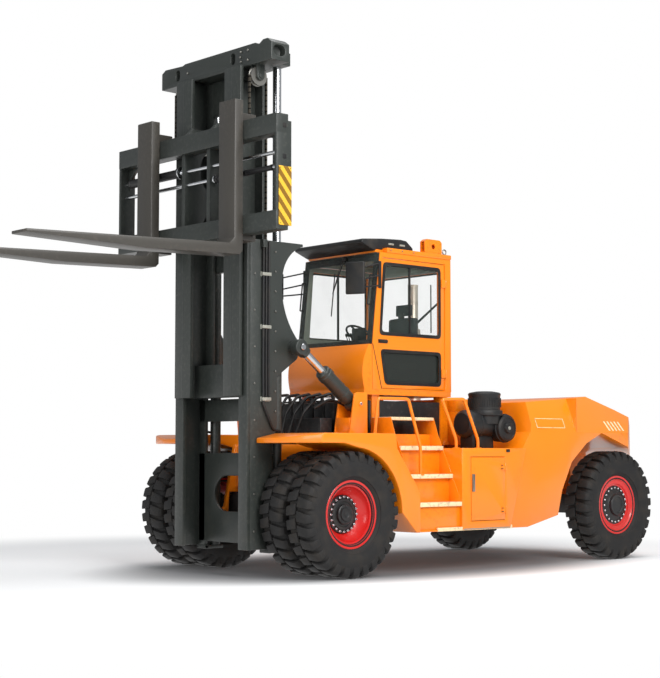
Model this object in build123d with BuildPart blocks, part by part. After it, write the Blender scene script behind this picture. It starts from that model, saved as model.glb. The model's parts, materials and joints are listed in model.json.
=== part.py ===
from build123d import *
from math import atan2, cos, degrees, hypot, pi, radians, sin
import os

# Heavy diesel forklift with twin front tyres, a two-stage mast and a carriage with sliding forks.
# Millimetres. +X is forward, +Y is left, +Z is up, and the wheels stand on Z = 0.
# The origin is on the ground at the middle of the overall length and width.
# Every x below is counted from the front axle, and every plane helper adds AXLE_X to it.

os.makedirs("parts", exist_ok=True)

# Overall
REAR_REACH = 5300
TRUCK_WIDTH = 3000
WHEELBASE = 4650

# Tyres and rims
TYRE_R = 685
TYRE_WIDTH = 375
LUG_HEIGHT = 32
LUG_COUNT = 16
LUG_SHARE = 0.6
SHOULDER = 38
SHOULDER_DROP = 45
SIDEWALL_R = 560
BEAD_R = 318
FLANGE_R = 372
BEAD_HALF = 118
FLANGE_THICK = 14
RIM_WALL = 24
ROUND_SIDES = 24
TWIN_SPACING = 440
DISH_Y = -35
DISC_THICK = 30
HUB_R = 215
FRONT_TYRE_Y = TRUCK_WIDTH / 2 - TYRE_WIDTH / 2
REAR_TYRE_Y = 1272
AXLE_Z = TYRE_R
AXLE_ARM_END = 560
DIFFERENTIAL_R = 270
KINGPIN_Y = 1000
KINGPIN_R = 35
SPINDLE_R = 74
REAR_SPINDLE_R = 60
RUNNING = 0.05
SEAT = 0.3

# Mast
PIVOT_X = 360
PIN_R = 35
PIVOT_BOSS = 62
PIVOT_Z = 620
MAST_HALF = 650
MAST_FRONT = 800
MAST_REAR = 440
PLATE_REAR = 375
MAST_FOOT = 300
MAST_TOP = 3680
CHANNEL_WEB = 42
CHANNEL_FLANGE = 150
RAISED = 1660
INNER_GAP = 15
INNER_REAR = 500
INNER_FLANGE = 45
INNER_WEB = (420, 460)
INNER_TIPS = (300, 588)
HEADER_Z = (5600, 5846)
HEADER_HALF = 1007
SHEAVE_X = 685
SHEAVE_Z = 5480
SHEAVE_R = 110
CHAIN_THICK = 18
LIFT_X = 300
LIFT_Y = 545
LIFT_BARREL_R = 60
LIFT_ROD_R = 48

# Tilt cylinders, from their pin on the body to their pin on the mast
TILT_Y = 762
TILT_BODY_PIN = (-650, 1900)
TILT_MAST_PIN = (150, 2510)
TILT_BARREL_R = 85
TILT_ROD_R = 48
TILT_PIN_R = 34
TILT_EYE_HALF = 54

# Carriage and forks
CARRIAGE_HALF = 1447
CARRIAGE_FRONT = 1064
CARRIAGE_REAR = 900
TOP_BAR_Z = (4688, 4898)
LOW_BAR_Z = (3669, 3873)
CHAIN_END_Z = 4830
CHAIN_ANCHOR_Y = (655, 695)
POSITIONER_Z = (4500, 4345)
FORK_Y = 760
FORK_WIDTH = 280
FORK_THICK = 115
FORK_LENGTH = 2520
FORK_DROOP = 2.0
FORK_TOP_Z = 5120
BLADE_TOP_Z = 3565
HOOK_REAR = 866

# Body
FENDER_TOP = 1558
FENDER_EDGE = 1450
FENDER_INNER = 662
BODY_HALF = TRUCK_WIDTH / 2
ARCH_R = TYRE_R + 35
SILL_Z = 460
RAIL_TOP = 1440
AXLE_SEAT_Z = 1270
BOX_TOP = 1400
RAIL_Y = 425
RAIL_THICK = 50
HOOD_HALF = 690
STEP_BACK = 1010
BOX_HALF = 1475
TOW_JAW_Z = (640, 730)
TOW_TOP_Z = 800
TOW_R = 25
TOW_X = -5245
BOX_HINGE_X = -2437
HINGE_R = 10
HOOD_SILL = 1850
HOOD_HINGE_X = -2985

# Cab
CAB_HALF = 660
CAB_POST = 70
CAB_FLOOR = 2020
CAB_ROOF = 3740
DOOR_THICK = 45
DOOR_GAP = 6
DOOR_HINGE_X = -2290

SIDES = (("left", 1), ("right", -1))

FORK_FRONT = CARRIAGE_FRONT + 2
FORK_TIP_X = FORK_FRONT + FORK_THICK + FORK_LENGTH
AXLE_X = (max(REAR_REACH, WHEELBASE + TYRE_R) - FORK_TIP_X) / 2


def upright(y):
    """A plane facing sideways at a distance y, drawn on in x forward and z up."""
    return Plane(origin=(AXLE_X, y, 0), x_dir=(1, 0, 0), z_dir=(0, -1, 0))


def across(x):
    """A plane facing forward, drawn on in y to the left and z up."""
    return Plane(origin=(AXLE_X + x, 0, 0), x_dir=(0, 1, 0), z_dir=(1, 0, 0))


def level(z):
    """A plane facing up at a height z, drawn on in x forward and y to the left."""
    return Plane(origin=(AXLE_X, 0, z), x_dir=(1, 0, 0), z_dir=(0, 0, 1))


def slab(plane, outline, depth, both=False, mode=Mode.ADD):
    """Extrude a closed outline of straight sides."""
    with BuildSketch(plane) as face:
        with BuildLine():
            Polyline(*outline, close=True)
        make_face()
    extrude(face.sketch, amount=depth, both=both, mode=mode)


def block(x, y, z, mode=Mode.ADD):
    """A box between two values of x, of y and of z."""
    with Locations((AXLE_X + sum(x) / 2, sum(y) / 2, sum(z) / 2)):
        Box(abs(x[1] - x[0]), abs(y[1] - y[0]), abs(z[1] - z[0]), mode=mode)


def bar(start, end, radius, mode=Mode.ADD):
    """A round bar between two points."""
    low = Vector(start[0] + AXLE_X, start[1], start[2])
    way = Vector(end[0] + AXLE_X, end[1], end[2]) - low
    with BuildSketch(Plane(origin=low, z_dir=way)) as disc:
        Circle(radius)
    extrude(disc.sketch, amount=way.length, mode=mode)


def bent_bar(points, bend, radius, mode=Mode.ADD):
    """A round bar along straight runs, with a short run across each corner."""
    places = [Vector(x + AXLE_X, y, z) for x, y, z in points]
    path = [places[0]]
    for before, corner, after in zip(places, places[1:], places[2:]):
        path += [corner + (before - corner).normalized() * bend, corner + (after - corner).normalized() * bend]
    path.append(places[-1])
    with BuildLine() as line:
        Polyline(*path)
    with BuildSketch(Plane(origin=path[0], z_dir=path[1] - path[0])) as disc:
        Circle(radius)
    sweep(disc.sketch, path=line.wire(), transition=Transition.RIGHT, mode=mode)


def save(part, name):
    """Label a finished piece and write it under its own name."""
    part.label = name
    export_step(part, f"parts/{name}.step")


def ring(radius, low, high, sides=ROUND_SIDES, slope=None, turn=0):
    """A many-sided disc about the y axis between two values of y. Its far edge may be cut on a slope, (inward, along y)."""
    way = 1 if high > low else -1
    face = Plane(origin=(0, low, 0), x_dir=(1, 0, 0), z_dir=(0, way, 0)) * RegularPolygon(radius, sides, rotation=turn)
    disc = extrude(face, amount=abs(high - low))
    if slope:
        far_face = disc.faces().sort_by(Axis.Y)[-1 if way > 0 else 0]
        disc = chamfer(far_face.edges(), length=slope[0], length2=slope[1], reference=far_face)
    return disc


def bored(radius, low, high):
    """A round core about the y axis, to be cut away for a spindle."""
    return extrude(Plane(origin=(0, low, 0), x_dir=(1, 0, 0), z_dir=(0, 1, 0)) * Circle(radius), amount=high - low)


def tread_row(way, turn):
    """Half of a tyre's tread: lugs round the carcass, with a shoulder that leans in."""
    half = TYRE_WIDTH / 2
    root = TYRE_R - LUG_HEIGHT
    pitch = 360 / LUG_COUNT
    outline = []
    for lug in range(LUG_COUNT):
        for share, radius in ((-1, root), (-0.8, TYRE_R), (0.8, TYRE_R), (1, root)):
            angle = radians(turn + pitch * (lug + share * LUG_SHARE / 2))
            outline.append((radius * cos(angle), radius * sin(angle)))
    lugs = extrude(Plane.XZ * make_face(Polyline(*outline, close=True)), amount=-way * half)
    over_lugs = TYRE_R / cos(pi / LUG_COUNT)
    return lugs & ring(over_lugs, 0, way * half, LUG_COUNT, (SHOULDER_DROP, SHOULDER), turn + pitch / 2)


def tyre():
    """A tyre about the y axis, with two staggered rows of lugs."""
    half = TYRE_WIDTH / 2
    body = tread_row(1, 0) + tread_row(-1, 180 / LUG_COUNT)
    flat_r = cos(pi / ROUND_SIDES)
    for way in (1, -1):
        body -= ring(SIDEWALL_R, way * (half + 5), way * BEAD_HALF,
                     slope=((SIDEWALL_R - FLANGE_R) * flat_r, half - BEAD_HALF))
    return body - ring(BEAD_R, -half, half)


def rim(disc_y, disc_thick, disc_r):
    """A rim about the y axis: a barrel with two flanges, and a disc with a round hole."""
    lip = BEAD_HALF + FLANGE_THICK
    body = ring(BEAD_R, -BEAD_HALF, BEAD_HALF)
    for way in (1, -1):
        body += ring(FLANGE_R, way * BEAD_HALF, way * lip)
    body -= ring(BEAD_R - RIM_WALL, disc_y + disc_thick, lip)
    body -= ring(BEAD_R - RIM_WALL, disc_y, -lip)
    return body - ring(disc_r, disc_y, disc_y + disc_thick)


TYRE = tyre()

# Front wheels: two tyres on two rims that share one hub
twin_rim = rim(DISH_Y, DISC_THICK, HUB_R)
hub_end = -TWIN_SPACING - DISH_Y - DISC_THICK
hub = ring(HUB_R, hub_end, DISH_Y + DISC_THICK) + ring(180, DISH_Y + DISC_THICK, 20) + ring(110, 20, 60)
hub -= bored(SPINDLE_R + RUNNING, hub_end, 20)
for side, s in SIDES:
    outer = Pos(AXLE_X, s * FRONT_TYRE_Y, AXLE_Z)
    inner = Pos(AXLE_X, s * (FRONT_TYRE_Y - TWIN_SPACING), AXLE_Z)
    facing_out = Rot(Z=90 - 90 * s)
    with BuildPart() as tyres:
        add(outer * facing_out * TYRE)
        add(inner * facing_out * TYRE)
    save(tyres.part, f"front_{side}_tyres")

    with BuildPart() as rims:
        add(outer * facing_out * twin_rim)
        add(inner * facing_out * Rot(Z=180) * twin_rim)
        add(outer * facing_out * hub)
    save(rims.part, f"front_{side}_rims")

# Rear wheels: one tyre, one rim and its hub on each side
rear_wheel_rim = rim(85, 30, 100)
rear_hub = ring(120, -40, 115) + ring(110, 115, 150)
rear_hub -= bored(REAR_SPINDLE_R + RUNNING, -40, 85)
for side, s in SIDES:
    place = Pos(AXLE_X - WHEELBASE, s * REAR_TYRE_Y, AXLE_Z) * Rot(Z=90 - 90 * s)
    with BuildPart() as rear_tyre:
        add(place * TYRE)
    save(rear_tyre.part, f"rear_{side}_tyre")

    with BuildPart() as rear_rim:
        add(place * rear_wheel_rim)
        add(place * rear_hub)
    save(rear_rim.part, f"rear_{side}_rim")

# Drive axle: a housing with the differential, and spindles inside the hubs
with BuildPart() as drive_axle:
    arm = [(270, -210), (AXLE_ARM_END, -150), (AXLE_ARM_END, 150), (270, 210)]
    beam = [(-y, z) for y, z in reversed(arm)]
    slab(across(-130), [(y, AXLE_Z + z) for y, z in arm + beam], 260)
    bar((-200, 0, AXLE_Z), (190, 0, AXLE_Z), DIFFERENTIAL_R)
    bar((-430, 0, AXLE_Z), (-200, 0, AXLE_Z), 120)
    for s in (1, -1):
        bar((0, s * AXLE_ARM_END, AXLE_Z), (0, s * (AXLE_ARM_END + 40), AXLE_Z), 205)
        bar((0, s * AXLE_ARM_END, AXLE_Z), (0, s * 1325, AXLE_Z), SPINDLE_R)
        block((-120, 120), (s * (RAIL_Y - 30), s * (RAIL_Y + 30)), (AXLE_Z + 100, 900 - SEAT))
save(drive_axle.part, "drive_axle")

# Steering axle: a beam that ends in forks round the kingpins, and the knuckles on them
with BuildPart() as steer_axle:
    slab(across(-WHEELBASE - 110), [
        (-KINGPIN_Y + 130, AXLE_Z - 120), (KINGPIN_Y - 130, AXLE_Z - 120), (KINGPIN_Y - 130, AXLE_Z + 120),
        (-KINGPIN_Y + 130, AXLE_Z + 120)], 220)
    for s in (1, -1):
        for z in (AXLE_Z - 120, AXLE_Z + 80):
            block((-WHEELBASE - 65, -WHEELBASE + 65), (s * (KINGPIN_Y - 140), s * KINGPIN_Y), (z, z + 40))
            bar((-WHEELBASE, s * KINGPIN_Y, z), (-WHEELBASE, s * KINGPIN_Y, z + 40), 65)
        bar((-WHEELBASE, s * KINGPIN_Y, AXLE_Z - 130), (-WHEELBASE, s * KINGPIN_Y, AXLE_Z + 130), KINGPIN_R + RUNNING,
            mode=Mode.SUBTRACT)
    block((-WHEELBASE - 60, -WHEELBASE + 60), (-120, 120), (AXLE_Z + 110, AXLE_SEAT_Z - SEAT))
save(steer_axle.part, "steer_axle")

for side, s in SIDES:
    with BuildPart() as knuckle:
        bar((-WHEELBASE, s * KINGPIN_Y, AXLE_Z - 72), (-WHEELBASE, s * KINGPIN_Y, AXLE_Z + 72), 62)
        bar((-WHEELBASE, s * KINGPIN_Y, AXLE_Z - 120), (-WHEELBASE, s * KINGPIN_Y, AXLE_Z + 120), KINGPIN_R)
        bar((-WHEELBASE, s * KINGPIN_Y, AXLE_Z), (-WHEELBASE, s * (REAR_TYRE_Y + 80), AXLE_Z), REAR_SPINDLE_R)
    save(knuckle.part, f"{side}_knuckle")

# Chassis: two long rails with tongues that carry the mast's pivot pins, and cross members
rail = [
    (120, RAIL_TOP), (215, 950), (260, 740), (310, PIVOT_Z + PIVOT_BOSS), (PIVOT_X, PIVOT_Z + PIVOT_BOSS),
    (PIVOT_X, PIVOT_Z - PIVOT_BOSS), (280, PIVOT_Z - PIVOT_BOSS), (215, 690), (205, 900),
    (-205, 900), (-300, 500), (-2900, SILL_Z + 40), (-3450, 700), (-3650, 1150), (-4900, 1300), (-4900, RAIL_TOP)]
with BuildPart() as chassis_frame:
    for s in (1, -1):
        slab(upright(s * RAIL_Y), rail, RAIL_THICK / 2, both=True)
        boss = ((PIVOT_X, s * RAIL_Y - RAIL_THICK / 2, PIVOT_Z), (PIVOT_X, s * RAIL_Y + RAIL_THICK / 2, PIVOT_Z))
        bar(*boss, PIVOT_BOSS)
        bar(*boss, PIN_R + RUNNING, mode=Mode.SUBTRACT)
    inside = (RAIL_THICK / 2 - RAIL_Y, RAIL_Y - RAIL_THICK / 2)
    for x, z in (((60, 110), (960, 1420)), ((-700, -640), (900, 1420)), ((-3600, -3540), (1160, 1430)),
                 ((-WHEELBASE - 90, -WHEELBASE + 90), (AXLE_SEAT_Z, 1430))):
        block(x, inside, z)
    block((-2900, -900), inside, (SILL_Z + 40, SILL_Z + 60))
    for s in (1, -1):
        block((-1010, -960), (s * RAIL_Y, s * (FENDER_INNER - SEAT)), (500, 1380))
        block((-2450, -2400), (s * RAIL_Y, s * (690 - SEAT)), (500, 1380))
save(chassis_frame.part, "chassis_frame")

# Front fenders: a flat top over the twin tyres, an arch behind them and a cut front corner
for side, s in SIDES:
    with BuildPart() as fender:
        with BuildSketch(upright(s * FENDER_INNER)) as profile:
            with BuildLine():
                ThreePointArc((-ARCH_R, AXLE_Z), (-ARCH_R * sin(radians(45)), AXLE_Z + ARCH_R * cos(radians(45))),
                              (-60, AXLE_Z + ARCH_R - 2))
                Polyline((-60, AXLE_Z + ARCH_R - 2), (143, FENDER_EDGE), (680, FENDER_EDGE), (680, 1505),
                         (420, FENDER_TOP), (-620, FENDER_TOP), (-640, 1300), (-800, 1060), (-960, 760),
                         (-1010, SILL_Z), (-830, SILL_Z), (-ARCH_R, AXLE_Z))
            make_face()
        extrude(profile.sketch, amount=-s * (BODY_HALF - FENDER_INNER))
        slab(level(SILL_Z), [(460, s * BODY_HALF), (680, s * (BODY_HALF - 470)), (800, s * (BODY_HALF - 470)),
                             (800, s * (BODY_HALF + 100)), (460, s * (BODY_HALF + 100))], 1400, mode=Mode.SUBTRACT)
        block((595, 690), (s * (FENDER_INNER - 10), s * (CHAIN_ANCHOR_Y[1] + 15)), (FENDER_EDGE - 10, FENDER_TOP),
              mode=Mode.SUBTRACT)
    save(fender.part, f"{side}_fender")

# Body sides behind the steps: a box each, with a door on the left one
for side, s in SIDES:
    with BuildPart() as side_box:
        slab(upright(s * 690), [(-1700, SILL_Z), (-2530, SILL_Z), (-2825, BOX_TOP), (-1700, BOX_TOP)],
             -s * (BOX_HALF - 690))
        if s > 0:
            block((-1850, -2440), (BOX_HALF - 60, BOX_HALF + 10), (560, 1300), mode=Mode.SUBTRACT)
    save(side_box.part, f"{side}_side_box")

with BuildPart() as box_door:
    block((-1856, -2434), (BOX_HALF - 35, BOX_HALF), (566, 1294))
    for z in (640, 1140):
        bar((BOX_HINGE_X, BOX_HALF + HINGE_R + SEAT, z), (BOX_HINGE_X, BOX_HALF + HINGE_R + SEAT, z + 80), HINGE_R)
        block((BOX_HINGE_X, BOX_HINGE_X + 60), (BOX_HALF - 5, BOX_HALF + 8), (z, z + 80))
save(box_door.part, "side_box_door")

# Steps: treads between the fender's arch and the side box
treads = (  # front x, rear x, outer y, height
    (-640, -1510, 1230, 1420),
    (-800.3, -1670, 1400, 1090),
    (-961.5, -1690, 1480, 785),
    (-1010.3, -1690, 1490, SILL_Z + 10),
)
for side, s in SIDES:
    with BuildPart() as steps:
        for front, rear, outer, z in treads:
            block((front, rear), (s * 720, s * outer), (z - 30, z))
        slab(upright(s * STEP_BACK), [(-1012, SILL_Z), (-962, 760), (-802, 1060), (-642, 1300), (-642, 1420),
                                      (-1698, 1420), (-1698, SILL_Z)], 10, both=True)
    save(steps.part, f"{side}_steps")

with BuildPart() as handrails:
    for s in (1, -1):
        bent_bar([(-583, s * 1200, FENDER_TOP + SEAT), (-583, s * 1200, 1950), (-1000, s * 1200, 1950), (-1190, s * 1200, 1540),
                  (-1190, s * 1200, 1420 + SEAT)], 60, 19)
        bent_bar([(-1740, s * 1300, BOX_TOP + SEAT), (-1740, s * 1300, 1500), (-1560, s * 1300, 1960),
                  (-1928, s * 1300, 1970), (-2150, s * 1300, 1500), (-2150, s * 1300, BOX_TOP + SEAT)], 60, 19)
save(handrails.part, "handrails")

# Engine block, hood and the counterweight behind them
with BuildPart() as engine_block:
    block((-2480, -3450), (-330, 330), (900, 1700))
    for x in (-2650, -3300):
        block((x - 50, x + 50), (SEAT + RAIL_THICK / 2 - RAIL_Y, RAIL_Y - RAIL_THICK / 2 - SEAT), (1000, 1060))
save(engine_block.part, "engine_block")

with BuildPart() as engine_bay:
    block((-2440, -2820), (-HOOD_HALF, HOOD_HALF), (RAIL_TOP + SEAT, HOOD_SILL))
    block((-2470, -2995), (30 - HOOD_HALF, HOOD_HALF - 30), (BOX_TOP, HOOD_SILL + 10), mode=Mode.SUBTRACT)
save(engine_bay.part, "engine_bay")

with BuildPart() as engine_hood:
    block((-2440, HOOD_HINGE_X), (-HOOD_HALF, HOOD_HALF), (HOOD_SILL + SEAT, 2000))
    block((-2470, HOOD_HINGE_X + 20), (30 - HOOD_HALF, HOOD_HALF - 30), (BOX_TOP, 1970), mode=Mode.SUBTRACT)
    for y in (-450, 450):
        bar((HOOD_HINGE_X, y - 60, 2000), (HOOD_HINGE_X, y + 60, 2000), HINGE_R)
save(engine_hood.part, "engine_hood")

with BuildPart() as counterweight:
    slab(upright(0), [
        (-2530, SILL_Z), (-2830, BOX_TOP), (-2980, 1600), (-3000, 1960), (-4300, 2060), (-4840, 1770), (-REAR_REACH, 1560),
        (-REAR_REACH, 1300), (-4840, 1420), (-4303, 1594), (-4001, 1467), (-3703, 1232), (-3524, 892), (-3443, 590),
        (-2902, SILL_Z)], 1450, both=True)
    for s in (1, -1):
        slab(level(0), [(-4840, s * 1450), (-REAR_REACH, s * 1140), (-REAR_REACH, s * 1600), (-4840, s * 1600)], 2400,
             mode=Mode.SUBTRACT)
        slab(across(-REAR_REACH), [(s * 1450, 1600), (s * 1180, 2100), (s * 1600, 2100), (s * 1600, 1600)], 2600,
             mode=Mode.SUBTRACT)
    block((-2400, -3540), (-HOOD_HALF - 8, HOOD_HALF + 8), (SILL_Z - 10, 1900), mode=Mode.SUBTRACT)
    block((-3530, -4960), (-RAIL_Y - 30, RAIL_Y + 30), (600, 1445), mode=Mode.SUBTRACT)
    slab(upright(0), [(-4960, 560), (-REAR_REACH, 560), (-REAR_REACH, 1400), (-4960, 1500)], 400, both=True)
    block((-REAR_REACH - 1, -REAR_REACH + 120), (-70, 70), TOW_JAW_Z, mode=Mode.SUBTRACT)
    bar((TOW_X, 0, 550), (TOW_X, 0, TOW_TOP_Z), TOW_R, mode=Mode.SUBTRACT)
save(counterweight.part, "counterweight")

with BuildPart() as radiator_grille:
    for n in range(9):
        block((-REAR_REACH - 6, -REAR_REACH - 0.3), (-600, 600), (1335 + 24 * n, 1349 + 24 * n))
    for y in (-600, 0, 580):
        block((-REAR_REACH - 8, -REAR_REACH - 5), (y, y + 20), (1335, 1541))
save(radiator_grille.part, "radiator_grille")

# Intake and exhaust
with BuildPart() as air_cleaner:
    bar((-2160, 1180, 1760), (-2760, 1180, 1760), 150)
    bar((-2310, 1180, 1760), (-2310, 1180, CAB_FLOOR + 62), 120)
    bar((-2620, 1180, 1640), (-2620, 1440, 1640), 105)
    block((-2250, -2650), (1130, 1230), (BOX_TOP, 1640))
save(air_cleaner.part, "air_cleaner")

with BuildPart() as exhaust_stack:
    bar((-3250, -900, 1987.2), (-3250, -900, 3300), 100)
    bent_bar([(-3250, -900, 3290), (-3250, -900, 3520), (-3420, -900, 3640)], 100, 55)
save(exhaust_stack.part, "exhaust_stack")

# Cab: floor with a rounded nose, side frames with posts, roof, glass and fittings
with BuildPart() as cab_floor:
    block((-2380, -930), (-CAB_HALF, CAB_HALF), (CAB_FLOOR, CAB_FLOOR + 60))
    with BuildSketch(upright(0)) as nose:
        with BuildLine():
            Polyline((-960, CAB_FLOOR), (-1060, CAB_FLOOR), (-1060, 2600), (-1010, 2610))
            ThreePointArc((-1010, 2610), (-905, 2330), (-960, CAB_FLOOR))
        make_face()
    extrude(nose.sketch, amount=CAB_HALF, both=True)
    for x in (-1150, -2300):
        for y in (-560, 560):
            block((x - 60, x + 60), (y - 60, y + 60), (BOX_TOP + 40, CAB_FLOOR))
    block((-2380, -1000), (-620, 620), (BOX_TOP + 40.3, BOX_TOP + 90))
save(cab_floor.part, "cab_floor")

SIDE_OUT = [(-1065, CAB_FLOOR + 60), (-2388, CAB_FLOOR + 60), (-2388, CAB_ROOF - 40), (-1190, CAB_ROOF - 40),
            (-1065, 2620)]
DOOR_OUT = [(-1215, CAB_FLOOR + 75), (DOOR_HINGE_X, CAB_FLOOR + 75), (DOOR_HINGE_X, CAB_ROOF - 100), (-1235, CAB_ROOF - 100),
            (-1130, 2640)]
UPPER_WINDOW = [(-1200, 2740), (-2200, 2740), (-2200, 3570), (-1265, 3570)]
LOWER_WINDOW = [(-1290, 2160), (-2200, 2160), (-2200, 2540), (-1215, 2540)]
with BuildPart() as cab_shell:
    for s in (1, -1):
        slab(upright(s * CAB_HALF), SIDE_OUT, s * CAB_POST)
        slab(upright(s * CAB_HALF * 1.1), DOOR_OUT, s * CAB_POST * 3, mode=Mode.SUBTRACT)
    inside = (CAB_POST - CAB_HALF, CAB_HALF - CAB_POST)
    block((-2388, -2340), inside, (CAB_FLOOR + 60, 2700))
    block((-2388, -2340), inside, (3560, CAB_ROOF - 40))
    block((-1240, -1190), inside, (CAB_ROOF - 110, CAB_ROOF - 40))
save(cab_shell.part, "cab_shell")

with BuildPart() as cab_roof:
    block((-2395, -1160), (-CAB_HALF - 10, CAB_HALF + 10), (CAB_ROOF - 39.7, CAB_ROOF + 20))
    for s in (1, -1):
        slab(upright(s * 500), [(-1990, CAB_ROOF + 20), (-2060, 3930), (-2200, 3930), (-2270, CAB_ROOF + 20)], 12, both=True)
save(cab_roof.part, "cab_roof")

with BuildPart() as roof_visor:
    slab(upright(0), [(-950, 3790), (-1000, 3850), (-1780, 3880), (-1780, CAB_ROOF + 20.3), (-1170, CAB_ROOF + 20.3)], 600,
         both=True)
save(roof_visor.part, "roof_visor")

with BuildPart() as cab_glass:
    slab(upright(0), [(-1030, 2612), (-1060, 2612), (-1215, CAB_ROOF - 112), (-1192, CAB_ROOF - 112)], CAB_HALF - CAB_POST - SEAT,
         both=True)
    block((-2385, -2373), (-CAB_HALF + CAB_POST, CAB_HALF - CAB_POST), (2700.3, 3559.7))
save(cab_glass.part, "cab_glass")

for side, s in SIDES:
    with BuildPart() as cab_door:
        with BuildSketch(upright(s * (CAB_HALF - 10))) as frame_face:
            with BuildLine():
                Polyline(*DOOR_OUT, close=True)
            make_face()
            offset(amount=-DOOR_GAP, kind=Kind.INTERSECTION)
        extrude(frame_face.sketch, amount=s * DOOR_THICK)
        slab(upright(s * CAB_HALF), UPPER_WINDOW, s * 80, mode=Mode.SUBTRACT)
        slab(upright(s * CAB_HALF), LOWER_WINDOW, s * 80, mode=Mode.SUBTRACT)
        for z in (2250, 3350):
            y = s * (CAB_HALF + HINGE_R + SEAT)
            bar((DOOR_HINGE_X, y, z), (DOOR_HINGE_X, y, z + 100), HINGE_R)
            block((DOOR_HINGE_X, DOOR_HINGE_X + 70), (s * (CAB_HALF - 12), y), (z, z + 100))
    save(cab_door.part, f"{side}_cab_door")

    with BuildPart() as door_glass:
        for window in (UPPER_WINDOW, LOWER_WINDOW):
            with BuildSketch(upright(s * (CAB_HALF - 28))) as pane:
                with BuildLine():
                    Polyline(*window, close=True)
                make_face()
                offset(amount=-0.3, kind=Kind.INTERSECTION)
            extrude(pane.sketch, amount=s * 8)
    save(door_glass.part, f"{side}_door_glass")

with BuildPart() as driver_seat:
    block((-1800, -2250), (-250, 250), (CAB_FLOOR + 60.3, CAB_FLOOR + 330))
    block((-1760, -2260), (-260, 260), (CAB_FLOOR + 330, CAB_FLOOR + 450))
    block((-2180, -2290), (-240, 240), (CAB_FLOOR + 450, CAB_FLOOR + 1010))
    block((-2200, -2270), (-130, 130), (CAB_FLOOR + 1010, CAB_FLOOR + 1170))
save(driver_seat.part, "driver_seat")

with BuildPart() as steering_column:
    block((-1150, -1330), (-150, 150), (CAB_FLOOR + 60.3, CAB_FLOOR + 450))
    bar((-1260, 0, CAB_FLOOR + 440), (-1480, 0, CAB_FLOOR + 760), 30)
    lean = atan2(320, 220)
    with BuildSketch(Plane(origin=(AXLE_X - 1480, 0, CAB_FLOOR + 760), x_dir=(0, 1, 0),
                           z_dir=(-cos(lean), 0, sin(lean)))) as wheel_face:
        Circle(190)
        Circle(165, mode=Mode.SUBTRACT)
        Rectangle(340, 30)
    extrude(wheel_face.sketch, amount=25)
save(steering_column.part, "steering_column")

with BuildPart() as mirrors:
    for s in (1, -1):
        bar((-1182, s * (CAB_HALF + 10.2), 3400), (-900, s * 760, 3400), 10)
        block((-930, -890), (s * 700, s * 860), (3210, 3600))
save(mirrors.part, "mirrors")

# Tilt brackets on the fenders, and the tilt cylinders
LEAN = degrees(atan2(TILT_MAST_PIN[1] - TILT_BODY_PIN[1], TILT_MAST_PIN[0] - TILT_BODY_PIN[0]))
TILT_LENGTH = hypot(TILT_MAST_PIN[1] - TILT_BODY_PIN[1], TILT_MAST_PIN[0] - TILT_BODY_PIN[0])
with BuildPart() as tilt_brackets:
    for s in (1, -1):
        for y in (-112, 88):
            slab(upright(s * TILT_Y + y), [(-480, FENDER_TOP), (-600, 2010), (-700, 2030), (-760, 1980), (-760, FENDER_TOP)],
                 -24)
        bar((TILT_BODY_PIN[0], s * TILT_Y - 105, TILT_BODY_PIN[1]), (TILT_BODY_PIN[0], s * TILT_Y + 105, TILT_BODY_PIN[1]), 30)
save(tilt_brackets.part, "tilt_brackets")


def along(y, distance):
    """A plane facing along a tilt cylinder, at a distance from its pin on the body."""
    turn = radians(LEAN)
    x = TILT_BODY_PIN[0] + distance * cos(turn)
    z = TILT_BODY_PIN[1] + distance * sin(turn)
    return Plane(origin=(AXLE_X + x, y, z), x_dir=(0, 1, 0), z_dir=(cos(turn), 0, sin(turn)))


for side, s in SIDES:
    y = s * TILT_Y
    with BuildPart() as tilt_barrel:
        with BuildSketch(along(y, 90)) as body_disc:
            Circle(TILT_BARREL_R)
        extrude(body_disc.sketch, amount=500)
        with BuildSketch(along(y, 96)) as bore_disc:
            Circle(TILT_ROD_R + RUNNING)
        extrude(bore_disc.sketch, amount=500, mode=Mode.SUBTRACT)
        with BuildSketch(upright(y - 60)) as eye:
            with Locations(TILT_BODY_PIN):
                Circle(78)
        extrude(eye.sketch, amount=-120)
        with BuildSketch(along(y, 0)) as neck:
            Rectangle(120, 100)
        extrude(neck.sketch, amount=92)
        bar((TILT_BODY_PIN[0], y - 80, TILT_BODY_PIN[1]), (TILT_BODY_PIN[0], y + 80, TILT_BODY_PIN[1]),
            30 + RUNNING, mode=Mode.SUBTRACT)
    save(tilt_barrel.part, f"{side}_tilt_barrel")

    with BuildPart() as tilt_rod:
        with BuildSketch(along(y, 400)) as rod_disc:
            Circle(TILT_ROD_R)
        extrude(rod_disc.sketch, amount=TILT_LENGTH - 400)
        with BuildSketch(upright(y - TILT_EYE_HALF)) as rod_eye:
            with Locations(TILT_MAST_PIN):
                Circle(80)
        extrude(rod_eye.sketch, amount=-2 * TILT_EYE_HALF)
        bar((TILT_MAST_PIN[0], y, TILT_MAST_PIN[1]), (TILT_MAST_PIN[0], y + s * (TILT_EYE_HALF + 22), TILT_MAST_PIN[1]),
            TILT_PIN_R)
    save(tilt_rod.part, f"{side}_tilt_rod")

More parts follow.
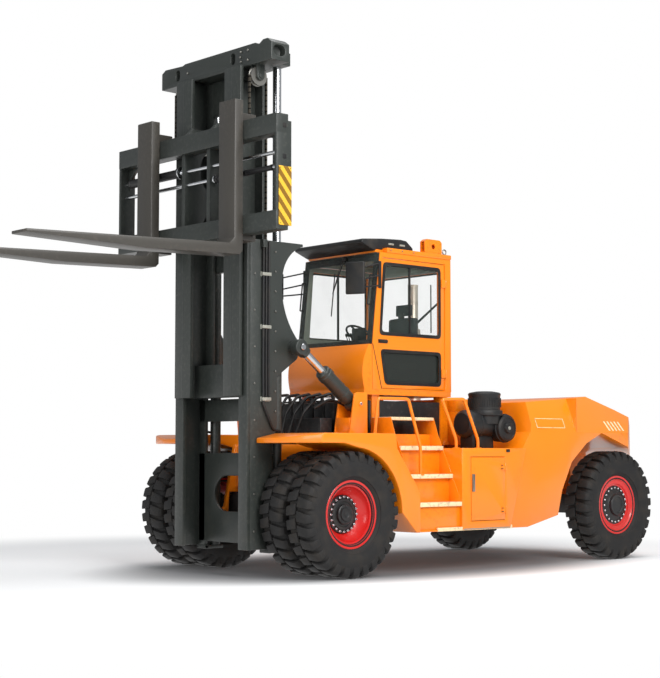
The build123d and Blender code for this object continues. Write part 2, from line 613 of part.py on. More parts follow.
# Outer mast: two channels open to the inside, side plates, cross members, foot ears and tilt lugs
web = (MAST_HALF - CHANNEL_WEB, MAST_HALF)
SIDE_PLATE = [(MAST_FRONT - 45, MAST_FOOT), (MAST_REAR, MAST_FOOT), (MAST_REAR, 1400), (PLATE_REAR, 1650), (PLATE_REAR, 2200),
              (60, 2420), (60, 2600), (300, 2720), (330, 3150), (250, 3400), (0, 3560), (0, MAST_TOP), (MAST_FRONT - 45, MAST_TOP)]
with BuildPart() as outer_mast:
    for s in (1, -1):
        slab(upright(s * web[0]), SIDE_PLATE, -s * CHANNEL_WEB)
        for x in ((MAST_FRONT - 45, MAST_FRONT), (MAST_REAR, MAST_REAR + 45)):
            block(x, (s * (MAST_HALF - CHANNEL_FLANGE), s * MAST_HALF), (MAST_FOOT, MAST_TOP))
        for y, thick in ((340, 50), (456, 24)):
            slab(upright(s * y), [(MAST_REAR + 20, 420), (PIVOT_X, PIVOT_Z - PIVOT_BOSS), (PIVOT_X, PIVOT_Z + PIVOT_BOSS),
                                  (MAST_REAR + 20, 860)], -s * thick)
            bar((PIVOT_X, s * y, PIVOT_Z), (PIVOT_X, s * (y + thick), PIVOT_Z), PIVOT_BOSS)
        bar((PIVOT_X, s * 340, PIVOT_Z), (PIVOT_X, s * 480, PIVOT_Z), PIN_R)
        bar((TILT_MAST_PIN[0], s * (MAST_HALF - 20), TILT_MAST_PIN[1]),
            (TILT_MAST_PIN[0], s * (TILT_Y - TILT_EYE_HALF - SEAT), TILT_MAST_PIN[1]), 2 * TILT_PIN_R)
        block((LIFT_X - 75, MAST_REAR + 45), (s * 484, s * MAST_HALF), (MAST_FOOT - 45, MAST_FOOT - 5))
        block((MAST_REAR, MAST_REAR + 45), (s * 484, s * MAST_HALF), (MAST_FOOT - 45, MAST_FOOT + 5))
        block((560, 620), (s * (MAST_HALF - 10), s * 705), (3590, MAST_TOP))
    block((MAST_REAR + 12, MAST_REAR + 45), (-MAST_HALF, MAST_HALF), (345, 1343))
    block((MAST_REAR, MAST_REAR + 45), (-MAST_HALF, MAST_HALF), (1700, 1950))
    block((MAST_REAR - 40, MAST_REAR + 45), (-MAST_HALF, MAST_HALF), (3400, 3660))
    with BuildSketch(across(MAST_REAR)) as opening:
        with Locations((0, 890)):
            SlotOverall(640, 400)
    extrude(opening.sketch, amount=150, mode=Mode.SUBTRACT)
save(outer_mast.part, "outer_mast")

with BuildPart() as lift_barrels:
    for s in (1, -1):
        bar((LIFT_X, s * LIFT_Y, MAST_FOOT - 5), (LIFT_X, s * LIFT_Y, 3600), LIFT_BARREL_R)
        bar((LIFT_X, s * LIFT_Y, 400), (LIFT_X, s * LIFT_Y, 3700), LIFT_ROD_R + RUNNING, mode=Mode.SUBTRACT)
save(lift_barrels.part, "lift_barrels")

# Inner mast: two beams with flanges inside and in front of the outer channels, and a wide header
low_z = 1960
front = (MAST_FRONT + INNER_GAP, MAST_FRONT + INNER_GAP + INNER_FLANGE)
rear = (INNER_REAR, INNER_REAR + INNER_FLANGE)
with BuildPart() as inner_mast:
    for s in (1, -1):
        block((rear[0], front[1]), (s * INNER_WEB[0], s * INNER_WEB[1]), (low_z, HEADER_Z[0]))
        for x in (front, rear):
            block(x, (s * INNER_TIPS[0], s * INNER_TIPS[1]), (low_z, HEADER_Z[0]))
    block((560, 700), (-INNER_WEB[0], INNER_WEB[0]), (low_z, 2330))
    block((512, 768), (-HEADER_HALF, HEADER_HALF), HEADER_Z)
    block((LIFT_X - 60, 520), (-HEADER_HALF + 300, HEADER_HALF - 300), (HEADER_Z[0] + 60, HEADER_Z[1] - 40))
    block(rear, (-INNER_WEB[0], INNER_WEB[0]), (5200, HEADER_Z[0]))
    for s in (1, -1):
        bar((SHEAVE_X, s * 640, SHEAVE_Z), (SHEAVE_X, s * 700, SHEAVE_Z), SHEAVE_R)
        bar((SHEAVE_X, s * 570, SHEAVE_Z), (SHEAVE_X, s * 730, SHEAVE_Z), 35)
        block((SHEAVE_X - 50, SHEAVE_X + 50), (s * 705, s * 735), (SHEAVE_Z - 50, HEADER_Z[0] + 10))
save(inner_mast.part, "inner_mast")

with BuildPart() as lift_rods:
    for s in (1, -1):
        bar((LIFT_X, s * LIFT_Y, 2100), (LIFT_X, s * LIFT_Y, HEADER_Z[0] + 59.7), LIFT_ROD_R)
save(lift_rods.part, "lift_rods")

# Carriage: two cross bars, end plates, roller brackets and the bars for the fork positioners
with BuildPart() as carriage:
    for z in (TOP_BAR_Z, LOW_BAR_Z):
        block((CARRIAGE_REAR, CARRIAGE_FRONT), (-CARRIAGE_HALF, CARRIAGE_HALF), z)
    for s in (1, -1):
        block((855, CARRIAGE_FRONT - 4), (s * (CARRIAGE_HALF - 40), s * CARRIAGE_HALF), (3720, 4830))
        block((CARRIAGE_REAR, CARRIAGE_FRONT - 40), (s * 200, s * 260), (3700, 4880))
        block((570, CARRIAGE_REAR + 10), (s * 200, s * 260), (4060, 5000))
        for z in (4200, 4860):
            bar((680, s * 250, z), (680, s * 300, z), 60)
            bar((680, s * 300, z), (680, s * 410, z), 130)
    for s in (1, -1):
        block((SHEAVE_X + SHEAVE_R + 11, CARRIAGE_REAR + 10), (s * CHAIN_ANCHOR_Y[0], s * CHAIN_ANCHOR_Y[1]),
              (4695, CHAIN_END_Z))
    for z in POSITIONER_Z:
        bar((980, -300, z), (980, 300, z), 40, mode=Mode.SUBTRACT)
save(carriage.part, "carriage")

with BuildPart() as positioners:
    for z in POSITIONER_Z:
        bar((980, 40 + SEAT - CARRIAGE_HALF, z), (980, CARRIAGE_HALF - 40 - SEAT, z), 30)
save(positioners.part, "positioners")

with BuildPart() as hazard_plate:
    block((860, 1035), (CARRIAGE_HALF + SEAT, CARRIAGE_HALF + 12), (3715, 4340))
    block((860, 1035), (-CARRIAGE_HALF - 12, -CARRIAGE_HALF - SEAT), (3715, 4340))
save(hazard_plate.part, "hazard_plates")

# Forks: an upright shank with hooks over the carriage bars, a rounded heel and a tapering blade
droop = radians(FORK_DROOP)
reach = FORK_LENGTH + FORK_THICK
blade = [
    (FORK_FRONT, FORK_TOP_Z), (FORK_FRONT, BLADE_TOP_Z - FORK_THICK + 40), (FORK_FRONT + 40, BLADE_TOP_Z - FORK_THICK),
    (FORK_TIP_X - 1400, BLADE_TOP_Z - FORK_THICK - 1100 * sin(droop)), (FORK_TIP_X, BLADE_TOP_Z - 32 - FORK_LENGTH * sin(droop)),
    (FORK_TIP_X, BLADE_TOP_Z - FORK_LENGTH * sin(droop)), (FORK_FRONT + FORK_THICK + 60, BLADE_TOP_Z),
    (FORK_FRONT + FORK_THICK, BLADE_TOP_Z + 60), (FORK_FRONT + FORK_THICK, FORK_TOP_Z)]
for side, s in SIDES:
    with BuildPart() as fork:
        slab(upright(s * FORK_Y), blade, FORK_WIDTH / 2, both=True)
        block((HOOK_REAR, FORK_FRONT + 10), (s * FORK_Y - 110, s * FORK_Y + 110), (TOP_BAR_Z[1] + 0.5, TOP_BAR_Z[1] + 90))
        block((HOOK_REAR, CARRIAGE_REAR - 0.5), (s * FORK_Y - 110, s * FORK_Y + 110), (TOP_BAR_Z[1] - 60, TOP_BAR_Z[1] + 90))
        block((HOOK_REAR, FORK_FRONT + 10), (s * FORK_Y - 110, s * FORK_Y + 110), (LOW_BAR_Z[0] - 60, LOW_BAR_Z[0] - 0.5))
        block((HOOK_REAR, CARRIAGE_REAR - 0.5), (s * FORK_Y - 110, s * FORK_Y + 110), (LOW_BAR_Z[0] - 60, LOW_BAR_Z[0] + 50))
    save(fork.part, f"{side}_fork")

# Lift chains: front runs from the sheaves down to the carriage, rear runs down to the outer mast
with BuildPart() as carriage_chains:
    for s in (1, -1):
        block((SHEAVE_X + SHEAVE_R + SEAT, SHEAVE_X + SHEAVE_R + CHAIN_THICK), (s * 660, s * 690),
              (CHAIN_END_Z + SEAT, SHEAVE_Z))
save(carriage_chains.part, "carriage_chains")

with BuildPart() as mast_chains:
    for s in (1, -1):
        block((SHEAVE_X - SHEAVE_R - CHAIN_THICK, SHEAVE_X - SHEAVE_R - SEAT), (s * 660, s * 690),
              (MAST_TOP + SEAT, SHEAVE_Z))
save(mast_chains.part, "mast_chains")
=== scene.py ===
# %% [markdown]
# # A heavy forklift truck
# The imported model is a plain, exact frame: it says where each part of the truck is and what moves with what. This
# script keeps that frame and makes its looks. Round parts are turned again with more faces, plates get the small
# rounded edges that catch light on real steel, and hoses, bolts, tread and paint are added where a plain model
# has none. Lengths are in metres, x forward, y to the truck's left, z up.

# %% The frame
import json
from math import atan2, cos, degrees, hypot, pi, radians, sin

import bpy
from mathutils import Matrix, Vector

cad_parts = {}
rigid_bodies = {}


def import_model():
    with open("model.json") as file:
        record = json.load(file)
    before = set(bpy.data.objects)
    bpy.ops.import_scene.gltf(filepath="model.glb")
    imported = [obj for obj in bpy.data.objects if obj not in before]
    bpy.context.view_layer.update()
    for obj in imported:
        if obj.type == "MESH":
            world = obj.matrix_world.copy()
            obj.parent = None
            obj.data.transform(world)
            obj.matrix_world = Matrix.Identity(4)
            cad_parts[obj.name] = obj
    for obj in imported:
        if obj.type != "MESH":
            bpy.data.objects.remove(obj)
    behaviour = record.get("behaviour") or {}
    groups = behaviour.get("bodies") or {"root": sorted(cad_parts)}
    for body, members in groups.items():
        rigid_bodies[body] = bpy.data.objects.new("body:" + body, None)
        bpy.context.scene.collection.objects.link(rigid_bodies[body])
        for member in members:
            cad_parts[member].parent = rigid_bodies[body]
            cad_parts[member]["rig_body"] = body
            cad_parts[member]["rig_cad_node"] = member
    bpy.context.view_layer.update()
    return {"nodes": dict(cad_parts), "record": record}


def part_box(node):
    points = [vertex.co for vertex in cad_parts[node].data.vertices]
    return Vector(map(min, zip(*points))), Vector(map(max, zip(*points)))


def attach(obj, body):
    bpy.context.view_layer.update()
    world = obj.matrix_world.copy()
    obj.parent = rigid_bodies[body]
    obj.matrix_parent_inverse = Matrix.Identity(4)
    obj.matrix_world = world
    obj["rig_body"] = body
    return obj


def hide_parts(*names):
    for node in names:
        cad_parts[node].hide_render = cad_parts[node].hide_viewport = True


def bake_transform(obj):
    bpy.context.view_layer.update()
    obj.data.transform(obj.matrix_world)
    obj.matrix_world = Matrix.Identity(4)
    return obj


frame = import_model()
nodes = frame["nodes"]
low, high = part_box("front_left_tyres")
AXLE = (low.x + high.x) / 2
HUB_Z = (low.z + high.z) / 2
TYRE_R = (high.z - low.z) / 2
body_of = {node: body for body, members in frame["record"]["behaviour"]["bodies"].items() for node in members}

# %% [markdown]
# ## Camera
# The photograph was taken from in front of the truck's left wheels, a little below the height of a grown person's
# chest, looking slightly up. Its place was worked out from the wheels, whose size is known. A long lens keeps the
# upright lines of the mast nearly parallel.

# %% The camera
PHOTO_LONG_SIDE = 678
FOCAL_PIXELS = 1542.6
camera_data = bpy.data.cameras.new("camera")
camera_data.sensor_width = 36
camera_data.lens = camera_data.sensor_width * FOCAL_PIXELS / PHOTO_LONG_SIDE
camera_data.clip_end = 200
camera = bpy.data.objects.new("camera", camera_data)
camera.location = (AXLE + 11.298, 13.628, 1.345)
yaw, pitch = radians(227.952), radians(4.221)
looking = Vector((cos(pitch) * cos(yaw), cos(pitch) * sin(yaw), sin(pitch)))
camera.rotation_euler = looking.to_track_quat("-Z", "Y").to_euler()
bpy.context.scene.collection.objects.link(camera)
bpy.context.scene.camera = camera
bpy.context.scene.view_settings.view_transform = "Standard"
print("lens", round(camera_data.lens, 2), "mm")

# %% [markdown]
# ## Sums in a shader
# A material is a net of nodes, and a sum of two masks is a Math node. Written out one by one they hide what they
# say, so a small class lets a socket be added and multiplied as a number is, and another keeps the one method
# that adds every other kind of node.

# %% Wires and finishes
def plug(tree, slot, value):
    """Join a wire to a socket, or write a plain value on it."""
    if isinstance(value, Wire):
        tree.links.new(value.socket, slot)
    elif slot.type == "RGBA" and len(value) == 3:
        slot.default_value = (*value, 1)
    else:
        slot.default_value = value


class Wire:
    """An output of a material's tree, which takes Python's sums."""

    def __init__(self, tree, socket):
        self.tree, self.socket = tree, socket

    def sum(self, operation, first, second, clamp=False):
        node = self.tree.nodes.new("ShaderNodeMath")
        node.operation, node.use_clamp = operation, clamp
        for slot, value in zip(node.inputs, (first, second)):
            plug(self.tree, slot, value)
        return Wire(self.tree, node.outputs[0])

    def __add__(self, other):
        return self.sum("ADD", self, other)

    def __sub__(self, other):
        return self.sum("SUBTRACT", self, other)

    def __rsub__(self, other):
        return self.sum("SUBTRACT", other, self)

    def __mul__(self, other):
        return self.sum("MULTIPLY", self, other)

    def __mod__(self, other):
        return self.sum("MODULO", self, other)

    def __gt__(self, other):
        return self.sum("GREATER_THAN", self, other)

    def __lt__(self, other):
        return self.sum("LESS_THAN", self, other)

    def size(self):
        """The same value without its sign."""
        return self.sum("ABSOLUTE", self, 0)

    def held(self):
        """The same value, kept between nothing and one."""
        return self.sum("ADD", self, 0, clamp=True)

    __radd__, __rmul__ = __add__, __mul__


def srgb(red, green, blue):
    """A colour as a screen shows it, from 0 to 255, turned to the light that a shader counts in."""
    return tuple((v / 12.92 if v <= 0.04045 else ((v + 0.055) / 1.055) ** 2.4)
                 for v in (red / 255, green / 255, blue / 255))


class Finish:
    """A material with its own Principled shader. node() adds any other node and gives its output."""

    def __init__(self, name, **sockets):
        self.material = bpy.data.materials.new(name)
        self.material.use_nodes = True
        self.tree = self.material.node_tree
        self.shader = self.tree.nodes["Principled BSDF"]
        self.place = self.node("TexCoord", out="Object")
        self.set(**sockets)

    def set(self, **sockets):
        for name, value in sockets.items():
            plug(self.tree, self.shader.inputs[name.replace("_", " ")], value)

    def node(self, kind, inputs=(), out=0, **settings):
        node = self.tree.nodes.new("ShaderNode" + kind)
        for name, value in settings.items():
            setattr(node, name, value)
        for name, value in dict(inputs).items():
            plug(self.tree, node.inputs[name], value)
        return Wire(self.tree, node.outputs[out])

    def noise(self, scale, detail=3.0, rough=0.55):
        return self.node("TexNoise", {"Vector": self.place, "Scale": scale, "Detail": detail,
            "Roughness": rough})

    def between(self, value, start, end):
        """Nothing below start, one above end, and a smooth step from one to the other."""
        return self.node("MapRange", {"Value": value, "From Min": start, "From Max": end},
                         interpolation_type="SMOOTHSTEP")

    def mix(self, share, first, second):
        """A colour between two, by a share."""
        return self.node("Mix", {0: share, 6: first, 7: second}, out=2, data_type="RGBA")

    def bump(self, height, strength, distance):
        return self.node("Bump", {"Height": height, "Strength": strength, "Distance": distance})

    def axis(self, name):
        return self.node("SeparateXYZ", {0: self.place}, out=name)

    def edges(self, start, end):
        """A mask of the convex edges, where paint wears first."""
        return self.between(self.node("NewGeometry", out="Pointiness"), start, end)


# %% [markdown]
# ## Paint
# The body is sprayed with a gloss orange and the mast with a satin dark grey. Sprayed paint is never quite flat:
# it has a faint skin like an orange's, it is duller where dust has settled near the ground, and on edges that are
# knocked the primer or the steel shows. One function makes each paint from its colour, so that every painted part
# has all of these in its own measure.

# %% Paints
DUST = srgb(150, 134, 112)


def painted(name, colour, rough, worn, dust=0.2, chips=0.5, coat=0.0, drift=0.06, lining=None):
    f = Finish(name, Roughness=rough, Coat_Weight=coat, Coat_Roughness=0.08)
    cloud = f.noise(0.9, 4.0)
    shade = f.mix(cloud, tuple(c * (1 - drift) for c in colour), tuple(min(1, c * (1 + drift)) for c in colour))
    low_down = 1 - f.between(f.axis("Z"), 0.25, 1.5)
    settled = (f.between(f.noise(3.1, 6.0, 0.65), 0.42, 0.8) * (low_down * 0.85 + 0.15) * dust).held()
    shade = f.mix(settled, shade, DUST)
    chipped = (f.edges(0.53, 0.6) * f.between(f.noise(24.0, 4.0), 0.5, 0.68) * chips).held()
    shade = f.mix(chipped, shade, worn)
    if lining:  # the same steel is pale inside the cab
        across, back, height = f.axis("Y"), f.axis("X"), f.axis("Z")
        inside = (across.size() < 0.607) * (back > AXLE - 2.345) * (back < AXLE - 1.072) * (height < 3.7012)
        shade = f.mix(inside, shade, lining)
    f.set(Base_Color=shade, Roughness=(settled * 0.35 + f.noise(5.0, 4.0) * 0.1 + rough - 0.05).held())
    f.set(Normal=f.bump(f.noise(420.0, 2.0) + f.noise(14.0, 3.0) * 0.6, 0.06, 0.002))
    return f.material


ORANGE = painted("orange_gloss", srgb(243, 130, 6), 0.32, srgb(176, 72, 8), dust=0.10, chips=0.3, coat=0.3)
CAB_PAINT = painted("cab_paint", srgb(243, 130, 6), 0.32, srgb(176, 72, 8), dust=0.1, chips=0.3, coat=0.3,
                    lining=srgb(118, 124, 112))
DARK_GREY = painted("dark_grey_satin", srgb(46, 50, 47), 0.40, srgb(90, 90, 84), dust=0.07, chips=0.3,
    drift=0.1)
FORK_GREY = painted("fork_steel", srgb(62, 59, 54), 0.42, srgb(110, 102, 90), dust=0.06, chips=0.4, drift=0.14)
BLACK = painted("black_satin", srgb(26, 26, 27), 0.45, srgb(70, 68, 64), dust=0.15, chips=0.5)
RED = painted("red_gloss", srgb(206, 24, 20), 0.32, srgb(120, 12, 10), dust=0.12, chips=0.5, coat=0.3)
CREAM = painted("pale_tread", srgb(240, 214, 170), 0.55, srgb(150, 140, 120), dust=0.2, chips=0.9, drift=0.1)
PALE_GREY = painted("pale_grey_primer", srgb(142, 142, 132), 0.5, srgb(180, 176, 165), dust=0.1, chips=0.6)
ENGINE_GREY = painted("engine_grey", srgb(88, 92, 92), 0.5, srgb(40, 38, 34), dust=0.2, chips=0.3)

# %% [markdown]
# ## Rubber, plastic, steel and glass
# Tyres are dull and pick up dust in the grooves, moulded plastic has a fine grain, rods are ground chrome with
# faint marks, and the cab has lightly tinted safety glass. Each has its own colour and gloss, and a
# pattern of the size that the real one has.

# %% Rubber, plastic, steel and glass
def rubber(name, colour, rough, grain):
    f = Finish(name, Roughness=rough, Specular_IOR_Level=0.4)
    dusty = f.between(f.noise(6.0, 5.0, 0.6), 0.4, 0.85) * 0.35
    f.set(Base_Color=f.mix(dusty, colour, srgb(74, 66, 56)), Roughness=(dusty * 0.4 + rough).held())
    f.set(Normal=f.bump(f.noise(grain, 3.0), 0.25, 0.0015))
    return f.material


def metal(name, colour, rough, dirt):
    f = Finish(name, Metallic=1.0)
    marks = f.noise(60.0, 5.0, 0.7)
    grime = f.between(f.noise(7.0, 4.0), 0.5, 0.8) * dirt
    f.set(Base_Color=f.mix(grime, colour, srgb(60, 50, 40)),
        Roughness=(marks * 0.12 + grime * 0.4 + rough).held())
    f.set(Normal=f.bump(marks, 0.04, 0.001))
    return f.material


TYRE = rubber("tyre_rubber", srgb(27, 26, 26), 0.72, 90.0)
HOSE = rubber("hose_rubber", srgb(22, 23, 24), 0.5, 160.0)
SEAL = rubber("seal_rubber", srgb(16, 16, 17), 0.6, 120.0)
PLASTIC = rubber("black_plastic", srgb(24, 25, 26), 0.48, 300.0)
CHROME = metal("ground_chrome", srgb(214, 216, 218), 0.12, 0.15)
BARE_STEEL = metal("bare_steel", srgb(150, 148, 142), 0.34, 0.5)


def glazing(name, tint, clear):
    f = Finish(name, Base_Color=tint, Roughness=0.03, IOR=1.45, Specular_IOR_Level=0.6)
    streaks = f.between(f.noise(2.4, 4.0), 0.35, 0.9)
    f.set(Alpha=(streaks * 0.04 + (1 - clear)).held())
    return f.material


GLASS = glazing("tinted_glass", srgb(150, 170, 160), 0.965)
f = Finish("mirror_glass", Base_Color=srgb(225, 228, 230), Metallic=1.0)
f.set(Roughness=f.noise(3.0, 3.0) * 0.05 + 0.02)
MIRROR = f.material

# %% [markdown]
# ## Stripes
# The plates on the carriage's ends warn of the moving load: amber bars slant across yellow. The bars are worked
# out from the place of each point, as a sloping distance cut into equal parts, so they stay sharp at any size.

# %% Hazard stripes
f = Finish("hazard_stripes", Roughness=0.4)
BAR_STEP, YELLOW_WIDE, SLANT = 0.15, 0.072, 1.15
across_bars = f.axis("Z") - f.axis("X") * SLANT + 20.0  # the sum is above nothing all over the truck
bars = (across_bars % BAR_STEP) > YELLOW_WIDE
worn_film = f.between(f.noise(9.0, 5.0), 0.6, 0.9) * 0.35
stripe = f.mix(bars, srgb(226, 176, 52), srgb(128, 92, 22))
f.set(Base_Color=f.mix(worn_film, stripe, srgb(150, 140, 110)), Roughness=(worn_film + 0.35).held())
f.set(Normal=f.bump(f.noise(200.0, 2.0), 0.05, 0.001))
HAZARD = f.material
print(len(bpy.data.materials), "materials with the frame's own")

# %% [markdown]
# ## Stage and light
# The truck stands on a white floor in a white room, under large soft lamps to the left of the truck and above it.
# The floor takes a shadow near the wheels and turns to plain white further out, and what only the camera or a
# polished surface looks at is white as well. In an oval under the truck a shadow is painted into the floor's
# colour, so it is darker there than the lamps alone make it.

# %% Stage and light
def white_beyond(name, near, far):
    """A floor that takes light and shadow near the truck, with a shadow painted under it, and is plain white
    beyond.
    """
    f = Finish(name, Roughness=0.9, Specular_IOR_Level=0.1)
    back, across = f.axis("X") + 0.95, f.axis("Y")
    painted_shadow = f.between((back * back) * 0.082 + (across * across) * 0.22, 0.45, 1.5)  # an oval of painted shadow below the truck
    # The oval's grey is a painted shadow in the floor's colour; outside it the floor is white.
    f.set(Base_Color=f.mix(painted_shadow, srgb(122, 122, 124), srgb(244, 244, 244)))
    out = f.tree.nodes["Material Output"]
    glow = f.node("Emission", {"Color": (1, 1, 1), "Strength": 1.0})
    length = f.node("VectorMath", {0: f.place}, out="Value", operation="LENGTH")
    seen = f.node("LightPath", out="Is Camera Ray")
    mirrored = f.node("LightPath", out="Is Glossy Ray")
    share = ((f.between(length, near, far) * 0.96 + 0.04) * seen + mirrored).held()
    blend = f.node("MixShader", {0: share, 1: Wire(f.tree, f.shader.outputs[0]), 2: glow})
    plug(f.tree, out.inputs[0], blend)
    return f.material


bpy.ops.object.select_all(action="DESELECT")
bpy.ops.mesh.primitive_circle_add(vertices=96, radius=90, fill_type="NGON", location=(0, 0, 0))
floor = bpy.context.object
floor.name = "floor"
floor.data.materials.append(white_beyond("white_floor", 5.5, 8.5))

world = bpy.context.scene.world or bpy.data.worlds.new("world")
bpy.context.scene.world = world
world.use_nodes = True
net = world.node_tree
sky = net.nodes["Background"]
rays = net.nodes.new("ShaderNodeLightPath")
looks = net.nodes.new("ShaderNodeMath")
looks.operation, looks.use_clamp = "ADD", True
net.links.new(rays.outputs["Is Camera Ray"], looks.inputs[0])
net.links.new(rays.outputs["Is Transmission Ray"], looks.inputs[1])
room = net.nodes.new("ShaderNodeBackground")
room.inputs["Strength"].default_value = 1.0
room.inputs["Color"].default_value = (1, 1, 1, 1)
sky.inputs["Color"].default_value = (0.93, 0.96, 1.0, 1)
sky.inputs["Strength"].default_value = 0.42
choose = net.nodes.new("ShaderNodeMixShader")
net.links.new(looks.outputs[0], choose.inputs[0])
net.links.new(sky.outputs[0], choose.inputs[1])
net.links.new(room.outputs[0], choose.inputs[2])
net.links.new(choose.outputs[0], net.nodes["World Output"].inputs[0])

LAMPS = (  # name, place, what it looks at, size, power
    ("key", (3, 13, 9), (0, 0, 1.8), 7, 1800),
    ("front", (14, 3, 5), (1, 0, 2.2), 6, 520),
    ("top", (-2, 2, 13), (-1, 0, 1), 9, 900),
)
for name, place, target, size, power in LAMPS:
    lamp_data = bpy.data.lights.new(name, "AREA")
    lamp_data.size, lamp_data.energy = size, power
    lamp = bpy.data.objects.new(name, lamp_data)
    lamp.location = place
    lamp.rotation_euler = (Vector(target) - Vector(place)).to_track_quat("-Z", "Y").to_euler()
    bpy.context.scene.collection.objects.link(lamp)
print(len(LAMPS), "lamps")

# %% [markdown]
# ## Working by hand in code
# Each piece is made with the operators that a person uses: a primitive is added, faces are chosen by where they
# are or which way they look, and they are extruded, inset and bevelled. These helpers keep the repeated parts of
# that short. Places are given from the middle of the front axle, as on the truck's drawing.

# %% Modelling helpers
SIDES = (("left", 1), ("right", -1))  # a side and the sign of its y


def alone(piece=None):
    """Leave edit mode and select this piece only, so that an operator acts on nothing else."""
    if bpy.context.object and bpy.context.object.mode != "OBJECT":
        bpy.ops.object.mode_set(mode="OBJECT")
    for other in bpy.context.selected_objects:
        other.select_set(False)
    if piece:
        piece.select_set(True)
        bpy.context.view_layer.objects.active = piece
    return piece


def settle(piece, name):
    """Name a new piece and put its place, turn and size into its mesh."""
    piece.name = piece.data.name = name
    alone(piece)
    bpy.ops.object.transform_apply(location=True, rotation=True, scale=True)
    return piece


def modified(piece, kind, **settings):
    """Put a modifier on a piece and apply it."""
    modifier = piece.modifiers.new(kind.lower(), kind)
    for key, value in settings.items():
        setattr(modifier, key, value)
    alone(piece)
    bpy.ops.object.modifier_apply(modifier=modifier.name)
    return piece


def softened(piece, width=0.004, segments=2, angle=32):
    """Round a piece's sharp edges and shade the rest smooth."""
    modified(piece, "BEVEL", width=width, segments=segments, limit_method="ANGLE", angle_limit=radians(angle),
             use_clamp_overlap=True)
    alone(piece)
    bpy.ops.object.shade_smooth_by_angle(angle=radians(38))
    return piece


def block(name, x, y, z):
    """A box between two values of x, of y and of z."""
    alone()
    bpy.ops.mesh.primitive_cube_add(size=1, location=(AXLE + sum(x) / 2, sum(y) / 2, sum(z) / 2))
    bpy.context.object.scale = (abs(x[1] - x[0]), abs(y[1] - y[0]), abs(z[1] - z[0]))
    return settle(bpy.context.object, name)


def rod(name, start, end, radius, sides=24, end_radius=None):
    """A round bar between two points, which may taper."""
    a, b = Vector(start), Vector(end)
    alone()
    bpy.ops.mesh.primitive_cone_add(vertices=sides, radius1=radius,
        radius2=radius if end_radius is None else end_radius, depth=(b - a).length,
        location=(a + b) / 2 + Vector((AXLE, 0, 0)))
    bpy.context.object.rotation_euler = (b - a).to_track_quat("Z", "Y").to_euler()
    return settle(bpy.context.object, name)


def joined(name, pieces):
    """Several pieces made one."""
    alone(pieces[0])
    for piece in pieces[1:]:
        piece.select_set(True)
    bpy.ops.object.join()
    pieces[0].name = pieces[0].data.name = name
    return pieces[0]


def copied(piece, moves):
    """The piece and a copy of it, with its own mesh, for each matrix, all joined."""
    copies = []
    for move in moves:
        copy = piece.copy()
        copy.data = piece.data.copy()
        copy.data.transform(move)
        bpy.context.scene.collection.objects.link(copy)
        copies.append(copy)
    name = piece.name
    bpy.data.objects.remove(piece)
    return joined(name, copies)


def around(centre, axis, count, start=0.0):
    """Turns about an axis through a point, in equal steps."""
    to, back = Matrix.Translation(Vector(centre)), Matrix.Translation(-Vector(centre))
    return [to @ Matrix.Rotation(start + 2 * pi * n / count, 4, axis) @ back for n in range(count)]


def painted_with(piece, finish, *stands_for):
    """Put one finish on the whole piece, and let it stand for nodes of the frame."""
    piece.data.materials.clear()
    piece.data.materials.append(finish)
    for face in piece.data.polygons:
        face.material_index = 0
    if stands_for:
        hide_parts(*stands_for)
    return piece


def given(piece, body, finish, *stands_for):
    """Paint a finished piece and let it ride on its body."""
    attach(piece, body)
    return painted_with(piece, finish, *stands_for)


def opened(piece):
    """Enter edit mode on this piece with all of it selected."""
    alone(piece)
    bpy.ops.object.mode_set(mode="EDIT")
    bpy.ops.mesh.select_all(action="SELECT")


def dressed(node, finish, width):
    """A copy of a frame node with rounded edges, which stands for it."""
    piece = nodes[node].copy()
    piece.data = nodes[node].data.copy()
    piece.parent = None
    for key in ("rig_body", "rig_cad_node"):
        del piece[key]
    piece.name = node + "_skin"
    bpy.context.scene.collection.objects.link(piece)
    opened(piece)
    bpy.ops.mesh.remove_doubles(threshold=0.00005)
    bpy.ops.mesh.dissolve_limited(angle_limit=radians(0.8))
    bpy.ops.object.mode_set(mode="OBJECT")
    if "custom_normal" in piece.data.attributes:
        piece.data.attributes.remove(piece.data.attributes["custom_normal"])
    softened(piece, width)
    return given(piece, body_of[node], finish, node)


# %% [markdown]
# ## Panels and plates
# Sheet steel is folded or ground, so none of its edges is truly sharp. The flat parts of the frame are copied,
# their loose triangles merged back into whole faces, and every sharp edge rounded by a few millimetres.

# %% Dressing the frame
PANELS = (  # finish, and each node with the radius of its edges
    (ORANGE, {"chassis_frame": 0.004, "left_side_box": 0.008, "right_side_box": 0.008, "side_box_door": 0.005}),
    (ENGINE_GREY, {"engine_block": 0.012}), (ORANGE, {"engine_bay": 0.006, "engine_hood": 0.008}),
    (BLACK, {"radiator_grille": 0.002}), (ORANGE, {"cab_floor": 0.008}),
    (CAB_PAINT, {"cab_shell": 0.008, "left_cab_door": 0.006, "right_cab_door": 0.006}),
    (BLACK, {"steer_axle": 0.006, "left_knuckle": 0.004, "right_knuckle": 0.004, "drive_axle": 0.006}),
    (FORK_GREY, {"left_fork": 0.008, "right_fork": 0.008}),
)
for finish, edges in PANELS:
    for node, edge in edges.items():
        dressed(node, finish, edge)
for node, finish in (("lift_barrels", DARK_GREY), ("lift_rods", CHROME)):
    nodes[node].data.materials.clear()
    nodes[node].data.materials.append(finish)
print(sum(len(edges) for _, edges in PANELS), "nodes dressed")

# %% [markdown]
# ## Shapes from outlines
# Much of the truck is plate cut to an outline, bar turned on a lathe, and hose. A plate starts as a flat face whose
# corners are put in place, and is then pulled to its thickness. A turned part starts as a disc that is pulled along
# and scaled step by step, as the tool would follow it. A hose is a smooth curve given a thickness.

